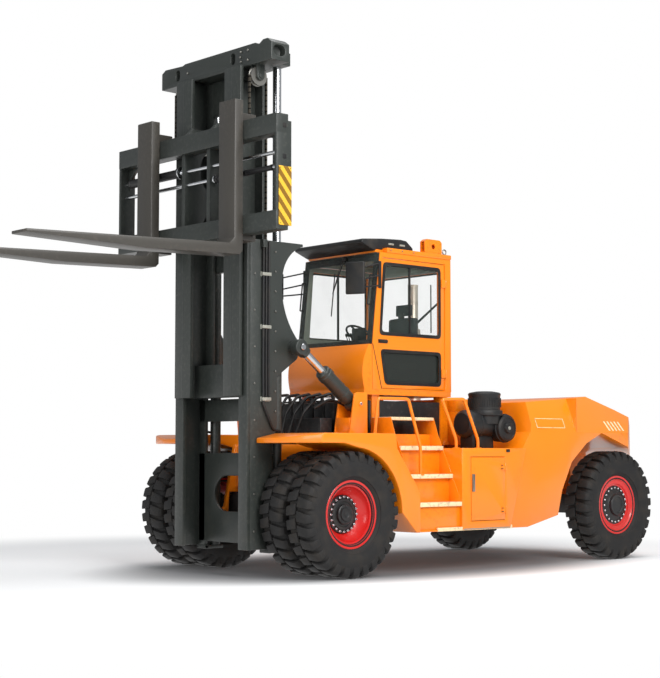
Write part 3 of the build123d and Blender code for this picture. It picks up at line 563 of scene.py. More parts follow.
# %% Plates, turned parts, bolts and hoses
def plate(name, plane, at, outline, thickness):
    """A plate with its outline in a plane: "xz" stands at y = at, "yz" at x = at, and "xy" lies at z = at."""
    put = {"xz": lambda a, b: (a + AXLE, at, b), "yz": lambda a, b: (at + AXLE, a, b),
           "xy": lambda a, b: (a + AXLE, b, at)}[plane]
    alone()
    bpy.ops.mesh.primitive_circle_add(vertices=len(outline), radius=1, fill_type="NGON")
    piece = bpy.context.object
    for vertex, corner in zip(piece.data.vertices, outline):
        vertex.co = put(*corner)
    way = {"xz": (0, thickness, 0), "yz": (thickness, 0, 0), "xy": (0, 0, thickness)}[plane]
    opened(piece)
    bpy.ops.mesh.extrude_region_move(TRANSFORM_OT_translate={"value": way})
    outward()
    return settle(piece, name)


def outward():
    """Merge doubled points, turn every face outward and leave edit mode."""
    bpy.ops.mesh.select_all(action="SELECT")
    bpy.ops.mesh.remove_doubles(threshold=0.00005)
    bpy.ops.mesh.normals_make_consistent(inside=False)
    bpy.ops.object.mode_set(mode="OBJECT")


def turned(name, start, along, profile, sides=48, hollow=False):
    """A part off the lathe, from distances along its axis with radii; a hollow one ends where it began."""
    (first, radius), steps = profile[0], profile[1:]
    alone()
    bpy.ops.mesh.primitive_circle_add(vertices=sides, radius=radius, location=(0, 0, first),
                                      fill_type="NOTHING" if hollow else "NGON")
    piece = bpy.context.object
    bpy.ops.object.transform_apply(location=True)
    opened(piece)
    before = first
    for distance, wide in steps:
        bpy.ops.mesh.extrude_region_move(TRANSFORM_OT_translate={"value": (0, 0, distance - before)})
        bpy.ops.transform.resize(value=(wide / radius, wide / radius, 1), center_override=(0, 0, distance))
        before, radius = distance, wide
    outward()
    piece.rotation_euler = Vector(along).to_track_quat("Z", "Y").to_euler()
    piece.location = Vector(start) + Vector((AXLE, 0, 0))
    settle(piece, name)
    bpy.ops.object.shade_smooth_by_angle(angle=radians(35))
    return piece


def bolts(name, places, way, size=0.014, height=0.012):
    """Six-sided bolt heads with a small chamfer: one is made and copied to each place."""
    head = softened(rod(name, (0, 0, 0), Vector(way) * height, size, 6), size * 0.2, 1)
    return copied(head, [Matrix.Translation(Vector(place)) for place in places])


def hose(name, points, radius, sides=3):
    """A hose or bent pipe along a smooth curve."""
    line = bpy.data.curves.new(name, "CURVE")
    line.dimensions, line.use_fill_caps = "3D", True
    line.bevel_depth, line.bevel_resolution, line.resolution_u = radius, sides, 6
    run = line.splines.new("NURBS")
    run.points.add(len(points) - 1)
    for point, (x, y, z) in zip(run.points, points):
        point.co = (x + AXLE, y, z, 1)
    run.order_u, run.use_endpoint_u = 3, True
    piece = bpy.data.objects.new(name, line)
    bpy.context.scene.collection.objects.link(piece)
    alone(piece)
    bpy.ops.object.convert(target="MESH")
    piece = settle(bpy.context.object, name)
    bpy.ops.object.shade_smooth_by_angle(angle=radians(50))
    return piece


def cut(piece, cutter):
    """Take one piece out of another."""
    modified(piece, "BOOLEAN", object=cutter, operation="DIFFERENCE", solver="EXACT")
    bpy.data.objects.remove(cutter)
    return piece


def arc(centre, radius, start, end, steps=10):
    """Points on an arc of a circle, by angles in degrees."""
    return [(centre[0] + radius * cos(radians(start + (end - start) * n / steps)),
             centre[1] + radius * sin(radians(start + (end - start) * n / steps))) for n in range(steps + 1)]


def through(first, middle, last, steps=10):
    """Points on the arc through three points."""
    (ax, ay), (bx, by), (cx, cy) = first, middle, last
    d = 2 * (ax * (by - cy) + bx * (cy - ay) + cx * (ay - by))
    aa, bb, cc = ax * ax + ay * ay, bx * bx + by * by, cx * cx + cy * cy
    x = (aa * (by - cy) + bb * (cy - ay) + cc * (ay - by)) / d
    y = (aa * (cx - bx) + bb * (ax - cx) + cc * (bx - ax)) / d
    angles = [atan2(q - y, p - x) for p, q in (first, middle, last)]
    sweep, half = ((angles[2] - angles[0]) % (2 * pi)), ((angles[1] - angles[0]) % (2 * pi))
    if half > sweep:
        sweep -= 2 * pi
    return arc((x, y), hypot(ax - x, ay - y), degrees(angles[0]), degrees(angles[0] + sweep), steps)


def slot(middle, width, height, steps=8):
    """The outline of a slot with round ends, wide or tall."""
    (a, b), r = middle, min(width, height) / 2
    if width > height:
        run = width / 2 - r
        return arc((a + run, b), r, -90, 90, steps) + arc((a - run, b), r, 90, 270, steps)
    run = height / 2 - r
    return arc((a, b + run), r, 0, 180, steps) + arc((a, b - run), r, 180, 360, steps)


def assembled(name, items, edge=0.004):
    """One thing of blocks (three ranges), rods (start, end, radius) and plates (plane, at, outline, thick)."""
    made = []
    for item in items:
        if isinstance(item[0], str):
            made.append(softened(plate(name, *item), edge))
        elif len(item[0]) == 2:
            made.append(softened(block(name, *item), min([edge] + [abs(b - a) / 3 for a, b in item])))
        else:
            made.append(softened(rod(name, item[0], item[1], item[2], 28), min(edge, item[2] / 5)))
    return joined(name, made) if len(made) > 1 else made[0]


def both(items):
    """The same blocks, rods and plates on the truck's two sides."""
    flipped = []
    for item in items:
        if isinstance(item[0], str) and item[0] == "xz":
            flipped.append(("xz", -item[1], item[2], -item[3]))
        elif isinstance(item[0], str):
            turn = (lambda a, b: (-a, b)) if item[0] == "yz" else (lambda a, b: (a, -b))
            flipped.append((item[0], item[1], [turn(*corner) for corner in item[2]], item[3]))
        elif len(item[0]) == 2:
            flipped.append((item[0], (-item[1][0], -item[1][1]), item[2]))
        else:
            flipped.append(((item[0][0], -item[0][1], item[0][2]), (item[1][0], -item[1][1], item[1][2]),
                item[2]))
    return list(items) + flipped


def bent(points, bend=0.07):
    """A route with a point added before and after each corner, so that a smooth curve keeps its straight runs."""
    route = [points[0]]
    for before, corner, after in zip(points, points[1:], points[2:]):
        here = Vector(corner)
        for beside in (before, after):
            step = here + (Vector(beside) - here).normalized() * bend
            route.append(tuple(step))
            if beside is before:
                route.append(corner)
    return route + [points[-1]]


# %% [markdown]
# ## Tyres
# Each tyre is a heavy cross-ply for yards and quarries: a full round sidewall with a rim guard, and a tread of deep
# blocks that start at the middle, widen to the shoulder and turn down over it, half a step apart on its two sides.
# The carcass is turned as one closed ring. One block is drawn across the tread, pulled along it, bent to the
# tyre's round and copied round both sides.

# %% Tyres
BLOCKS = 28
TYRE_HALF = 0.1875
ROOT = TYRE_R - 0.034
half_profile = [(0.0, ROOT), (0.120, ROOT - 0.002), (0.148, ROOT - 0.012), (0.172, ROOT - 0.040),
    (0.1845, ROOT - 0.085), (0.1868, ROOT - 0.140), (0.182, 0.462), (0.171, 0.425), (0.172, 0.415),
    (0.168, 0.408), (0.158, 0.405), (0.146, 0.386), (0.132, 0.374), (0.132, 0.330), (0.118, 0.318)]
tyre_profile = half_profile + [(-y, r) for y, r in reversed(half_profile)]


def tyre_at(centre):
    """A tyre whose middle is at a point counted from the front axle."""
    x, y, z = centre
    carcass = turned("tyre", centre, (0, 1, 0), tyre_profile, 96, hollow=True)
    middle = Vector((x + AXLE, y, z))
    made = [carcass]
    for way, shift in ((1, 0.0), (-1, 0.5)):
        section = [(0.010, ROOT - 0.012), (0.010, TYRE_R), (0.138, TYRE_R), (0.163, TYRE_R - 0.010),
            (0.1870, TYRE_R - 0.042), (0.1872, ROOT - 0.078), (0.178, ROOT - 0.088), (0.150, ROOT - 0.030)]
        lug = plate("lug", "yz", x - 0.058, [(y + way * a, z + b) for a, b in section], 0.116)
        opened(lug)
        bpy.ops.mesh.bisect(plane_co=middle, plane_no=(1, 0, 0))
        bpy.ops.object.mode_set(mode="OBJECT")
        for vertex in lug.data.vertices:
            out, up, over = vertex.co.y - y, vertex.co.z - z, vertex.co.x - middle.x
            turn = over / TYRE_R * (0.72 + 0.28 * (1 - abs(out) / TYRE_HALF) ** 0.5) + 0.05 * abs(out) / TYRE_HALF
            vertex.co = (middle.x + up * sin(turn), vertex.co.y, z + up * cos(turn))
        softened(lug, 0.005, 2, 28)
        made.append(copied(lug, around(middle, "Y", BLOCKS, shift * 2 * pi / BLOCKS)))
    return joined("tyre", made)


TWIN_STEP, WHEELBASE = 0.44, 4.65
FRONT_Y, REAR_Y = 1.3125, 1.272
wheel_places = {"front_left_tyres": (0, (FRONT_Y, FRONT_Y - TWIN_STEP)),
    "rear_left_tyre": (-WHEELBASE, (REAR_Y,)), "front_right_tyres": (0, (-FRONT_Y, TWIN_STEP - FRONT_Y)),
    "rear_right_tyre": (-WHEELBASE, (-REAR_Y,))}
pattern = tyre_at((0, 0, HUB_Z))
for node, (x, sides) in wheel_places.items():
    copy = pattern.copy()
    copy.data = pattern.data.copy()
    bpy.context.scene.collection.objects.link(copy)
    copy.name = node + "_tread"
    tyre = copied(copy, [Matrix.Translation((x, y, 0)) for y in sides])
    given(tyre, body_of[node], TYRE, node)
faces = len(pattern.data.polygons)
bpy.data.objects.remove(pattern)
print("faces in a tyre:", faces)

# %% [markdown]
# ## Rims
# The front rims are deep: a rolled edge, a gutter, and a red dish that falls back to a black hub with a ring of
# nuts and a stepped cover. The rear ones are shallow: a red ring round a black disc with nuts near its edge and a
# round cap. Each is turned, and its nuts are set round it.

# %% Rims and hubs
FLANGE = [(0.132, 0.345), (0.134, 0.366), (0.130, 0.372), (0.118, 0.372), (0.112, 0.352), (0.106, 0.322)]


def rim_profile(face):
    """The closed section of a rim. Its face is a list of (along, radius) from the edge to the middle."""
    inside = face[-1][0] - 0.02
    back = [(-0.118, 0.322), (-0.112, 0.352), (-0.118, 0.372), (-0.130, 0.372), (-0.132, 0.345),
        (-0.130, 0.312)]
    return face[::-1] + FLANGE + back + [(-0.05, 0.305), (inside, 0.300), (inside, face[-1][1]), face[-1]]


FRONT_FACE = [(0.128, 0.325), (0.104, 0.318), (0.100, 0.300), (0.060, 0.292), (-0.010, 0.225), (-0.030, 0.200)]
REAR_FACE = [(0.128, 0.325), (0.112, 0.312), (0.108, 0.268), (0.095, 0.262), (0.090, 0.245)]
for side, s in SIDES:
    out = (0, s, 0)
    outer, inner = (0, s * FRONT_Y, HUB_Z), (0, s * (FRONT_Y - TWIN_STEP), HUB_Z)
    rear = (-WHEELBASE, s * REAR_Y, HUB_Z)
    red = [turned("rim", outer, out, rim_profile(FRONT_FACE), 72, hollow=True),
           turned("rim", inner, (0, -s, 0), rim_profile(FRONT_FACE), 48, hollow=True)]
    given(joined(f"front_{side}_rims_red", red), f"front_{side}_wheels", RED, f"front_{side}_rims")
    hub = turned(f"front_{side}_hub", outer, out, [(-0.400, 0.205), (-0.012, 0.208), (-0.006, 0.202),
        (-0.004, 0.172), (0.012, 0.165), (0.018, 0.140), (0.010, 0.132), (0.012, 0.112), (0.040, 0.108),
        (0.046, 0.098), (0.042, 0.075), (0.052, 0.070), (0.056, 0.040), (0.050, 0.030)], 64)
    nut = softened(rod("nut", (0, outer[1], HUB_Z + 0.187), (0, outer[1] + s * 0.016, HUB_Z + 0.187), 0.015, 6),
        0.003, 1)
    nuts = copied(nut, around((AXLE, 0, HUB_Z), "Y", 20))
    studs = copied(softened(rod("stud", (0, outer[1], HUB_Z + 0.187), (0, outer[1] + s * 0.03, HUB_Z + 0.187),
        0.007, 10), 0.002, 1), around((AXLE, 0, HUB_Z), "Y", 20))
    caps = copied(softened(rod("cap", (0, outer[1] + s * 0.03, HUB_Z + 0.092),
        (0, outer[1] + s * 0.05, HUB_Z + 0.092), 0.009, 6), 0.002, 1), around((AXLE, 0, HUB_Z), "Y", 8))
    given(joined(f"front_{side}_hub", [hub, caps]), f"front_{side}_wheels", BLACK)
    given(joined(f"front_{side}_nuts", [nuts, studs]), f"front_{side}_wheels", CHROME)
    ring = turned(f"rear_{side}_rim_red", rear, out, rim_profile(REAR_FACE), 72, hollow=True)
    given(ring, f"rear_{side}_wheel", RED, f"rear_{side}_rim")
    disc = turned(f"rear_{side}_hub", rear, out, [(-0.04, 0.12), (0.070, 0.120), (0.070, 0.256), (0.084, 0.258),
        (0.088, 0.250), (0.088, 0.180), (0.094, 0.170), (0.100, 0.150), (0.112, 0.136), (0.142, 0.130),
        (0.148, 0.122), (0.146, 0.104), (0.136, 0.098), (0.136, 0.030)], 64)
    given(disc, f"rear_{side}_wheel", BLACK)
    nut = softened(rod("nut", (rear[0], rear[1] + s * 0.086, HUB_Z + 0.216),
        (rear[0], rear[1] + s * 0.108, HUB_Z + 0.216), 0.0155, 6), 0.004, 1)
    given(copied(nut, around((AXLE - WHEELBASE, 0, HUB_Z), "Y", 20)), f"rear_{side}_wheel",
        CHROME).name = f"rear_{side}_nuts"
print("rims, hubs and nuts on both sides")

# %% [markdown]
# ## Fenders, steps and rails
# Each side is climbed between the front fender and the side box: three bare treads under the cab's door, each set
# further in than the one below, with an orange riser behind it and a thin stringer at each end. The fender is one
# thick folded shell with a round arch over the twin tyres and its front corner cut off. Two bent tubes on each side
# are held while climbing. The treads are pale, trodden anti-slip plate, so they are a piece of their own.

# %% Fenders
ARCH_R, AXLE_Z, SILL = 0.72, HUB_Z, 0.46
fender_outline = arc((0, AXLE_Z), ARCH_R, 180, 95, 18) + [
    (0.143, 1.45), (0.68, 1.45), (0.68, 1.505), (0.42, 1.558), (-0.62, 1.558), (-0.646, 1.391), (-0.936, 0.996),
    (-1.0, 0.886), (-1.0, SILL), (-0.94, SILL)]
for side, s in SIDES:
    shell = plate(f"{side}_fender_shell", "xz", s * 0.662, fender_outline, s * 0.838)
    opened(shell)
    bpy.ops.mesh.bisect(plane_co=(AXLE + 0.46, s * 1.5, 0), plane_no=(0.47, s * 0.22, 0), use_fill=True,
        clear_outer=True)
    outward()
    softened(shell, 0.012, 3)
    given(shell, "chassis", ORANGE, f"{side}_fender")

# %% Steps and handrails
STEP_X = (-1.003, -1.698)
TREADS = ((1.470, 0.785, 1.065), (1.330, 1.100, 1.385), (1.180, 1.420, 1.560))  # outer y, height, top of its riser
LANDING_Y, LANDING_Z = 1.03, 1.755
for side, s in SIDES:
    carried, trodden = [], []
    for (outer, z, riser), above in zip(TREADS, (1.33, 1.18, LANDING_Y)):
        trodden.append((STEP_X, (s * (outer - 0.23), s * outer), (z - 0.035, z)))
        trodden.append((STEP_X, (s * (outer - 0.004), s * (outer + 0.004)), (z - 0.045, z + 0.004)))
        carried.append(((STEP_X[0] + 0.004, STEP_X[1] - 0.004), (s * (above - 0.075), s * (above - 0.06)),
            (z, riser)))
    trodden.append((STEP_X, (s * 0.70, s * LANDING_Y), (LANDING_Z - 0.035, LANDING_Z)))
    ends = [(0.70, 1.40), (0.70, LANDING_Z - 0.004), (LANDING_Y, LANDING_Z - 0.004), (1.10, 1.55),
        (1.275, 1.18), (1.43, 0.86), (1.44, 0.75), (1.20, 0.70)]
    for x in (STEP_X[0] - 0.002, STEP_X[1] - 0.004):
        carried.append(("yz", x, [(s * y, z) for y, z in ends], 0.007))
    carried.append(("xz", s * 1.415, [(-1.0, SILL), (-1.003, 0.75), (STEP_X[1], 0.75), (STEP_X[1], SILL)],
        s * 0.026))
    carried.append(((-1.0, STEP_X[1]), (s * 1.0, s * 1.47), (SILL + 0.001, SILL + 0.02)))
    given(assembled(f"{side}_step_risers", carried, 0.003), "chassis", ORANGE, f"{side}_steps")
    given(assembled(f"{side}_step_treads", trodden, 0.004), "chassis", CREAM)
rails = []
for s in (1, -1):
    for route in ([(-0.583, 1.20, 1.55), (-0.583, 1.25, 1.95), (-1.02, 1.29, 1.95), (-1.20, 1.30, 1.413),
            (-1.20, 1.30, 1.09)], [(-1.79, 1.3, 1.39), (-1.79, 1.3, 1.5), (-1.56, 1.3, 1.96),
            (-1.928, 1.3, 1.97), (-2.16, 1.3, 1.5), (-2.16, 1.3, 1.39)]):
        rails.append(hose("rail", bent([(x, s * y, z) for x, y, z in route]), 0.019, 4))
        for x, y, z in (route[0], route[-1]):
            rails.append(turned("rail_foot", (x, s * y, z + 0.002), (0, 0, 1),
                [(0, 0.045), (0.012, 0.045), (0.016, 0.03)], 20))
given(joined("step_handrails", rails), "chassis", ORANGE, "handrails")
print("steps and rails on both sides")

# %% [markdown]
# ## Side boxes, latch and marks
# The tall door in the left side box has two outside hinges and a lever latch. Small things stand out against so
# much orange: the steel latch, the hinge bolts, a black mark at the top of each box and the pale strip along the
# sill. They are thin blocks with rounded edges, because at their size no other shape would show.

# %% Side details
BOX_Y = 1.475
given(assembled("box_latch", [((-1.905, -1.865), (BOX_Y, BOX_Y + 0.016), (0.90, 1.10)),
    ((-1.898, -1.872), (BOX_Y + 0.014, BOX_Y + 0.022), (0.94, 1.06)),], 0.003), "side_box_door", BARE_STEEL)
given(bolts("box_hinge_bolts", [(-2.39 + 0.02 * n, BOX_Y + 0.008, z) for n in (0, 1)
    for z in (0.66, 0.70, 1.16, 1.20)], (0, 1, 0), 0.007, 0.006), "side_box_door", BLACK)
given(assembled("sill_strip", [((-1.24, -1.66), (1.4415, 1.447), (0.470, 0.480)),
                               ((-1.72, -2.52), (BOX_Y, BOX_Y + 0.005), (0.470, 0.480))], 0.002),
      "chassis", PALE_GREY)
given(assembled("side_reflectors", both([((-2.46, -2.52), (BOX_Y, BOX_Y + 0.012), (1.355, 1.388))]), 0.004),
      "chassis", BLACK)
print("latch, hinge bolts, strips and marks")

# %% [markdown]
# ## Air cleaner and exhaust
# The air cleaner is a set of drums in black steel sheet: a lying one with a clamp round it, a tall one for the
# pre-cleaner with its ring of vanes, and the filter's bowl that faces outward and has a pale cap in its middle.
# The exhaust stands behind the cab on the other side, bright and heat-stained, with a smaller tail pipe.

# %% Air cleaner and exhaust
cleaner = [turned("drum", (-2.12, 1.08, 1.69), (-1, 0, 0), [(0, 0.03), (0, 0.125), (0.03, 0.158), (0.06, 0.165),
    (0.2, 0.165), (0.205, 0.171), (0.235, 0.171), (0.24, 0.165), (0.52, 0.165), (0.60, 0.158), (0.63, 0.12),
    (0.635, 0.03)], 48), turned("tower", (-2.5, 1.1, 1.69), (0, 0, 1),
    [(0, 0.06), (0, 0.186), (0.09, 0.19), (0.10, 0.215), (0.112, 0.218), (0.15, 0.218), (0.16, 0.212),
    (0.166, 0.19), (0.33, 0.190), (0.345, 0.196), (0.362, 0.196), (0.376, 0.18), (0.39, 0.10)], 56),
    turned("bowl", (-2.69, 1.08, 1.64), (0, 1, 0), [(0, 0.06), (0, 0.150), (0.05, 0.163), (0.15, 0.165),
    (0.155, 0.173), (0.175, 0.173), (0.18, 0.162), (0.215, 0.158), (0.23, 0.13), (0.222, 0.125), (0.222, 0.065),
    (0.238, 0.06), (0.25, 0.055), (0.25, 0.02)], 48), assembled("cleaner_feet",
    [((-2.33, -2.60), (1.03, 1.15), (1.40, 1.60)), ((-2.20, -2.24), (0.98, 1.18), (1.40, 1.62)),
    ((-2.30, -2.34), (0.90, 1.05), (1.60, 1.66))], 0.004)]
vane = softened(plate("vane", "xz", 1.1, [(-2.694, 1.89), (-2.700, 1.89), (-2.700, 2.0), (-2.694, 2.0)], 0.004),
    0.001, 1)
cleaner.append(copied(vane, around((AXLE - 2.5, 1.1, 0), "Z", 40)))
given(joined("air_cleaner_drums", cleaner), "chassis", PLASTIC, "air_cleaner")
given(turned("air_cleaner_cap", (-2.69, 1.305, 1.64), (0, 1, 0),
    [(0, 0.024), (0.022, 0.024), (0.028, 0.02), (0.03, 0.008)], 24), "chassis", PALE_GREY)
stack = turned("exhaust_pipe", (-3.30, -0.9, 1.985), (0, 0, 1),
    [(0, 0.125), (0.012, 0.125), (0.014, 0.1), (0.05, 0.098), (0.9, 0.098), (0.94, 0.100), (1.0, 0.096),
    (1.015, 0.072), (1.05, 0.068), (1.58, 0.068), (1.60, 0.073), (1.60, 0.062), (1.30, 0.060), (1.30, 0.02)],
    40)
STAINED = metal("stained_steel", srgb(205, 196, 180), 0.3, 0.9)
given(stack, "chassis", STAINED, "exhaust_stack")
print("air cleaner and exhaust")

# %% [markdown]
# ## Outer mast
# Two long channels hold the lift. Their outside is one tall plate, cut in round sweeps behind so that the driver
# sees past it and so that the tilt cylinder's lug is carried by a broad ear. Flanges stand in front and behind,
# cross members tie the two sides, and the lowest, a deep plate with a long window, also carries the hinge lugs.

# %% Outer mast
MAST_FRONT, MAST_REAR, PLATE_REAR, FOOT, TOP = 0.80, 0.44, 0.375, 0.30, 3.68
TILT_Y, TILT_PIN = 0.762, (0.15, 2.51)
sweep = through((0.09, 2.38), (0.052, 2.51), (0.11, 2.64), 8)
sweep += through((0.11, 2.64), (0.272, 2.95), (0.298, 3.29), 12)[1:]
sweep += through((0.298, 3.29), (0.207, 3.515), (0.036, 3.64), 10)[1:]
side_outline = [(0.755, TOP), (0.755, FOOT), (MAST_REAR, FOOT), (MAST_REAR, 1.40), (PLATE_REAR, 1.65),
    (PLATE_REAR, 2.18)]
side_outline += sweep + [(0.0, 3.65), (0.0, TOP)]
HINGE_LUG = [(0.46, 0.42), (0.36, 0.558), (0.36, 0.682), (0.46, 0.86)]
channels = both([
    ("xz", 0.608, side_outline, 0.042),
    ((0.752, MAST_FRONT), (0.500, 0.6497), (FOOT + 0.0004, TOP - 0.0004)),
    ((MAST_REAR + 0.0003, MAST_REAR + 0.045), (0.500, 0.6480), (FOOT + 0.0004, TOP - 0.0004)),
    ("xz", 0.340, HINGE_LUG, 0.050), ("xz", 0.456, HINGE_LUG, 0.024),
    ((0.36, 0.34, 0.62), (0.36, 0.39, 0.62), 0.062), ((0.36, 0.456, 0.62), (0.36, 0.48, 0.62), 0.062),
    ((0.36, 0.335, 0.62), (0.36, 0.485, 0.62), 0.035),
    ((TILT_PIN[0], 0.63, TILT_PIN[1]), (TILT_PIN[0], 0.7077, TILT_PIN[1]), 0.068),
    ((0.225, 0.485), (0.484, 0.6495), (0.255, 0.295)), ((0.44, 0.485), (0.484, 0.6495), (0.256, 0.305)),
    ((0.56, 0.62), (0.640, 0.705), (3.59, TOP - 0.001))])
crossing = [((0.44, 0.485), (-0.6085, 0.6085), (1.70, 1.95)), ((0.40, 0.485), (-0.6085, 0.6085), (3.40, 3.66)),
            ((0.38, 0.452), (-0.60, 0.60), (1.313, 1.343))]
deep = plate("deep_plate", "yz", 0.452, [(-0.6085, 0.345), (0.6085, 0.345), (0.6085, 1.343), (-0.6085, 1.343)],
    0.033)
window = plate("window", "yz", 0.40, slot((0, 0.89), 0.64, 0.40, 10), 0.15)
softened(cut(deep, window), 0.005)
holes = plate("holes", "yz", 0.40, slot((0.47, 1.16), 0.05, 0.11, 8), 0.15)
mast = joined("outer_mast_steel", [assembled("mast", channels + crossing, 0.006), cut(deep, holes)])
given(mast, "outer_mast", DARK_GREY, "outer_mast")

# %% [markdown]
# ## Hoses and bolts on the mast
# Three hydraulic hoses run down the outside of each mast plate in pale clamps, and a row of bolt heads stands along
# the plate's rear edge. Below the lowest clamp the hoses bend away toward the chassis.

# %% Mast hoses
for side, s in SIDES:
    runs = []
    for x, top_z in ((0.592, 3.66), (0.553, 3.63), (0.514, 3.66)):
        runs.append(hose("hose", [(x, s * 0.672, top_z), (x, s * 0.672, 2.9), (x, s * 0.671, 2.2),
            (x - 0.004, s * 0.671, 1.95)], 0.014))
    runs.append(hose("hose", bent([(0.592, s * 0.672, 1.98), (0.590, s * 0.672, 1.88), (0.50, s * 0.672, 1.70),
        (0.44, s * 0.66, 1.60), (0.30, s * 0.62, 1.58)], 0.05), 0.014))
    given(joined(f"{side}_mast_hoses", runs), "outer_mast", HOSE)
    clamps = []
    for z in (3.30, 2.72, 1.93):
        clamps += [((0.490, 0.612), (s * 0.650, s * 0.689), (z - 0.018, z + 0.018)),
                   ((0.484, 0.618), (s * 0.650, s * 0.656), (z - 0.026, z + 0.026))]
    given(assembled(f"{side}_hose_clamps", clamps, 0.004), "outer_mast", PALE_GREY)
    rows = [(0.405, s * 0.650, 1.80 + 0.22 * n) for n in range(9)] + [(0.70, s * 0.650, 0.5 + 0.4 * n)
        for n in range(8)]
    given(bolts(f"{side}_mast_bolts", rows, (0, s, 0), 0.012, 0.010), "outer_mast", BARE_STEEL)
    pin = turned(f"{side}_tilt_pin_cap", (TILT_PIN[0], s * 0.818, TILT_PIN[1]), (0, s, 0), [
        (0, 0.03), (0, 0.034), (0.018, 0.034), (0.022, 0.03), (0.022, 0.015)], 32)
    given(pin, f"{side}_tilt_rod", CHROME)
given(hose("mast_inner_pipe", bent([(0.50, 0.30, 3.30), (0.49, 0.28, 2.60), (0.47, 0.24, 1.98),
    (0.40, 0.16, 1.80), (0.30, 0.10, 1.76)], 0.08), 0.016), "outer_mast", PALE_GREY)
given(hose("mast_inner_hose", bent([(0.36, 0.10, 1.78), (0.42, 0.12, 1.55), (0.44, 0.15, 1.35)], 0.08), 0.015),
      "outer_mast", HOSE)

# %% [markdown]
# ## Inner mast and header
# The inner beams slide in the outer channels on rollers. Their tops are tied by a header, a deep box with bevelled
# ends, a slot near each end for lifting, and small bolts. Under it hang the two chain sheaves, which are grooved,
# each between a pair of cheeks.

# %% Inner mast
HEADER_HALF, HEAD_LOW, HEAD_TOP = 1.007, 5.60, 5.846
beams = both([((0.500, 0.860), (0.420, 0.460), (1.96, HEAD_LOW)),
    ((0.815, 0.8598), (0.300, 0.588), (1.9605, HEAD_LOW)), ((0.5002, 0.545), (0.300, 0.588),
    (1.9605, HEAD_LOW))])
beams += [((0.56, 0.70), (-0.421, 0.421), (1.9605, 2.33)), ((0.5005, 0.5445), (-0.421, 0.421),
    (5.20, HEAD_LOW)), ((0.24, 0.53), (-0.707, 0.707), (HEAD_LOW + 0.06, HEAD_TOP - 0.04))]
header = plate("header", "yz", 0.512, [(-HEADER_HALF, HEAD_LOW), (HEADER_HALF, HEAD_LOW),
    (HEADER_HALF, HEAD_TOP - 0.050), (HEADER_HALF - 0.070, HEAD_TOP), (0.860, HEAD_TOP),
    (0.790, HEAD_TOP - 0.040), (0.720, HEAD_TOP - 0.012), (-0.550, HEAD_TOP - 0.010),
    (-0.600, HEAD_TOP - 0.025), (0.07 - HEADER_HALF, HEAD_TOP - 0.012), (-HEADER_HALF, HEAD_TOP - 0.05)], 0.256)
for y in (-0.694, 0.334):
    cut(header, plate("slot", "yz", 0.70, slot((y, 5.722), 0.08, 0.13), 0.10))
for s in (1, -1):
    cut(header, plate("slot", "xz", s * (HEADER_HALF - 0.09), slot((0.655, 5.712), 0.17, 0.12), s * 0.12))
softened(header, 0.007)
sheaves = [header, assembled("beams", beams, 0.006)]
GROOVE = [(0, 0.02), (0, 0.108), (0.006, 0.110), (0.014, 0.110), (0.020, 0.094), (0.040, 0.094), (0.046, 0.110),
          (0.054, 0.110), (0.060, 0.108), (0.060, 0.02)]
CHEEK = [(0.635, HEAD_LOW), (0.735, HEAD_LOW), (0.735, 5.46), (0.710, 5.43), (0.66, 5.43), (0.635, 5.46)]
for s in (1, -1):
    sheaves.append(assembled("cheeks", [
        ("xz", s * 0.705, CHEEK, s * 0.028), ("xz", s * 0.612, CHEEK, s * 0.020),
        ((0.685, s * 0.46, 5.48), (0.685, s * 0.745, 5.48), 0.032)], 0.003))
given(joined("inner_mast_steel", sheaves), "inner_mast", DARK_GREY, "inner_mast")
pulleys = [turned("sheave", (0.685, s * 0.640, 5.48), (0, s, 0), GROOVE, 56) for s in (1, -1)]
given(joined("chain_sheaves", pulleys), "inner_mast", BARE_STEEL)
given(bolts("header_bolts", [(0.768, y, z) for y in (0.482, 0.604) for z in (5.662, 5.773)]
            + [(0.768, y, 5.715) for y in (-0.50, 0.47)], (1, 0, 0), 0.015, 0.012), "inner_mast", BARE_STEEL)

# %% [markdown]
# ## Carriage
# Two wide bars carry the forks, with a plate at each end. Two waisted arms behind them reach back between the
# inner beams and carry the rollers. The forks are moved along by a positioner each: a chrome rod right across the
# carriage, with a flanged cylinder behind the other fork.

# %% Carriage
CAR_HALF, CAR_REAR, CAR_FRONT = 1.447, 0.900, 1.064
arm = [(1.024, 4.88), (1.024, 3.70), (CAR_REAR, 3.70), (0.72, 4.01), (0.57, 4.06), (0.57, 4.29)]
arm += through((0.57, 4.29), (0.75, 4.36), (0.80, 4.53), 8)[1:] + through((0.80, 4.53), (0.75, 4.70),
    (0.57, 4.77), 8)[1:]
arm += [(0.57, 5.0), (0.91, 5.0)]
gusset = through((1.407, 4.43), (1.337, 4.60), (1.15, 4.688), 10) + [(1.407, 4.688)]
body = [((CAR_REAR, CAR_FRONT), (-CAR_HALF, CAR_HALF), (4.688, 4.898)),
    ((CAR_REAR, CAR_FRONT), (-CAR_HALF, CAR_HALF), (3.669, 3.873))]
body += both([((0.855, 1.060), (1.407, CAR_HALF - 0.0005), (3.72, 4.83)), ("xz", 0.200, arm, 0.060),
              ("yz", 0.910, gusset, 0.036), ((0.806, 0.905), (0.655, 0.695), (4.72, 4.829))])
given(assembled("carriage_steel", body, 0.007), "carriage", DARK_GREY, "carriage")
ROLLER = [(0, 0.03), (0, 0.118), (0.006, 0.128), (0.014, 0.130), (0.096, 0.130), (0.104, 0.128), (0.110, 0.118),
    (0.110, 0.085), (0.100, 0.080), (0.100, 0.03)]
rollers = [turned("roller", (0.68, s * 0.300, z), (0, s, 0), ROLLER, 44) for s in (1, -1) for z in (4.20, 4.86)]
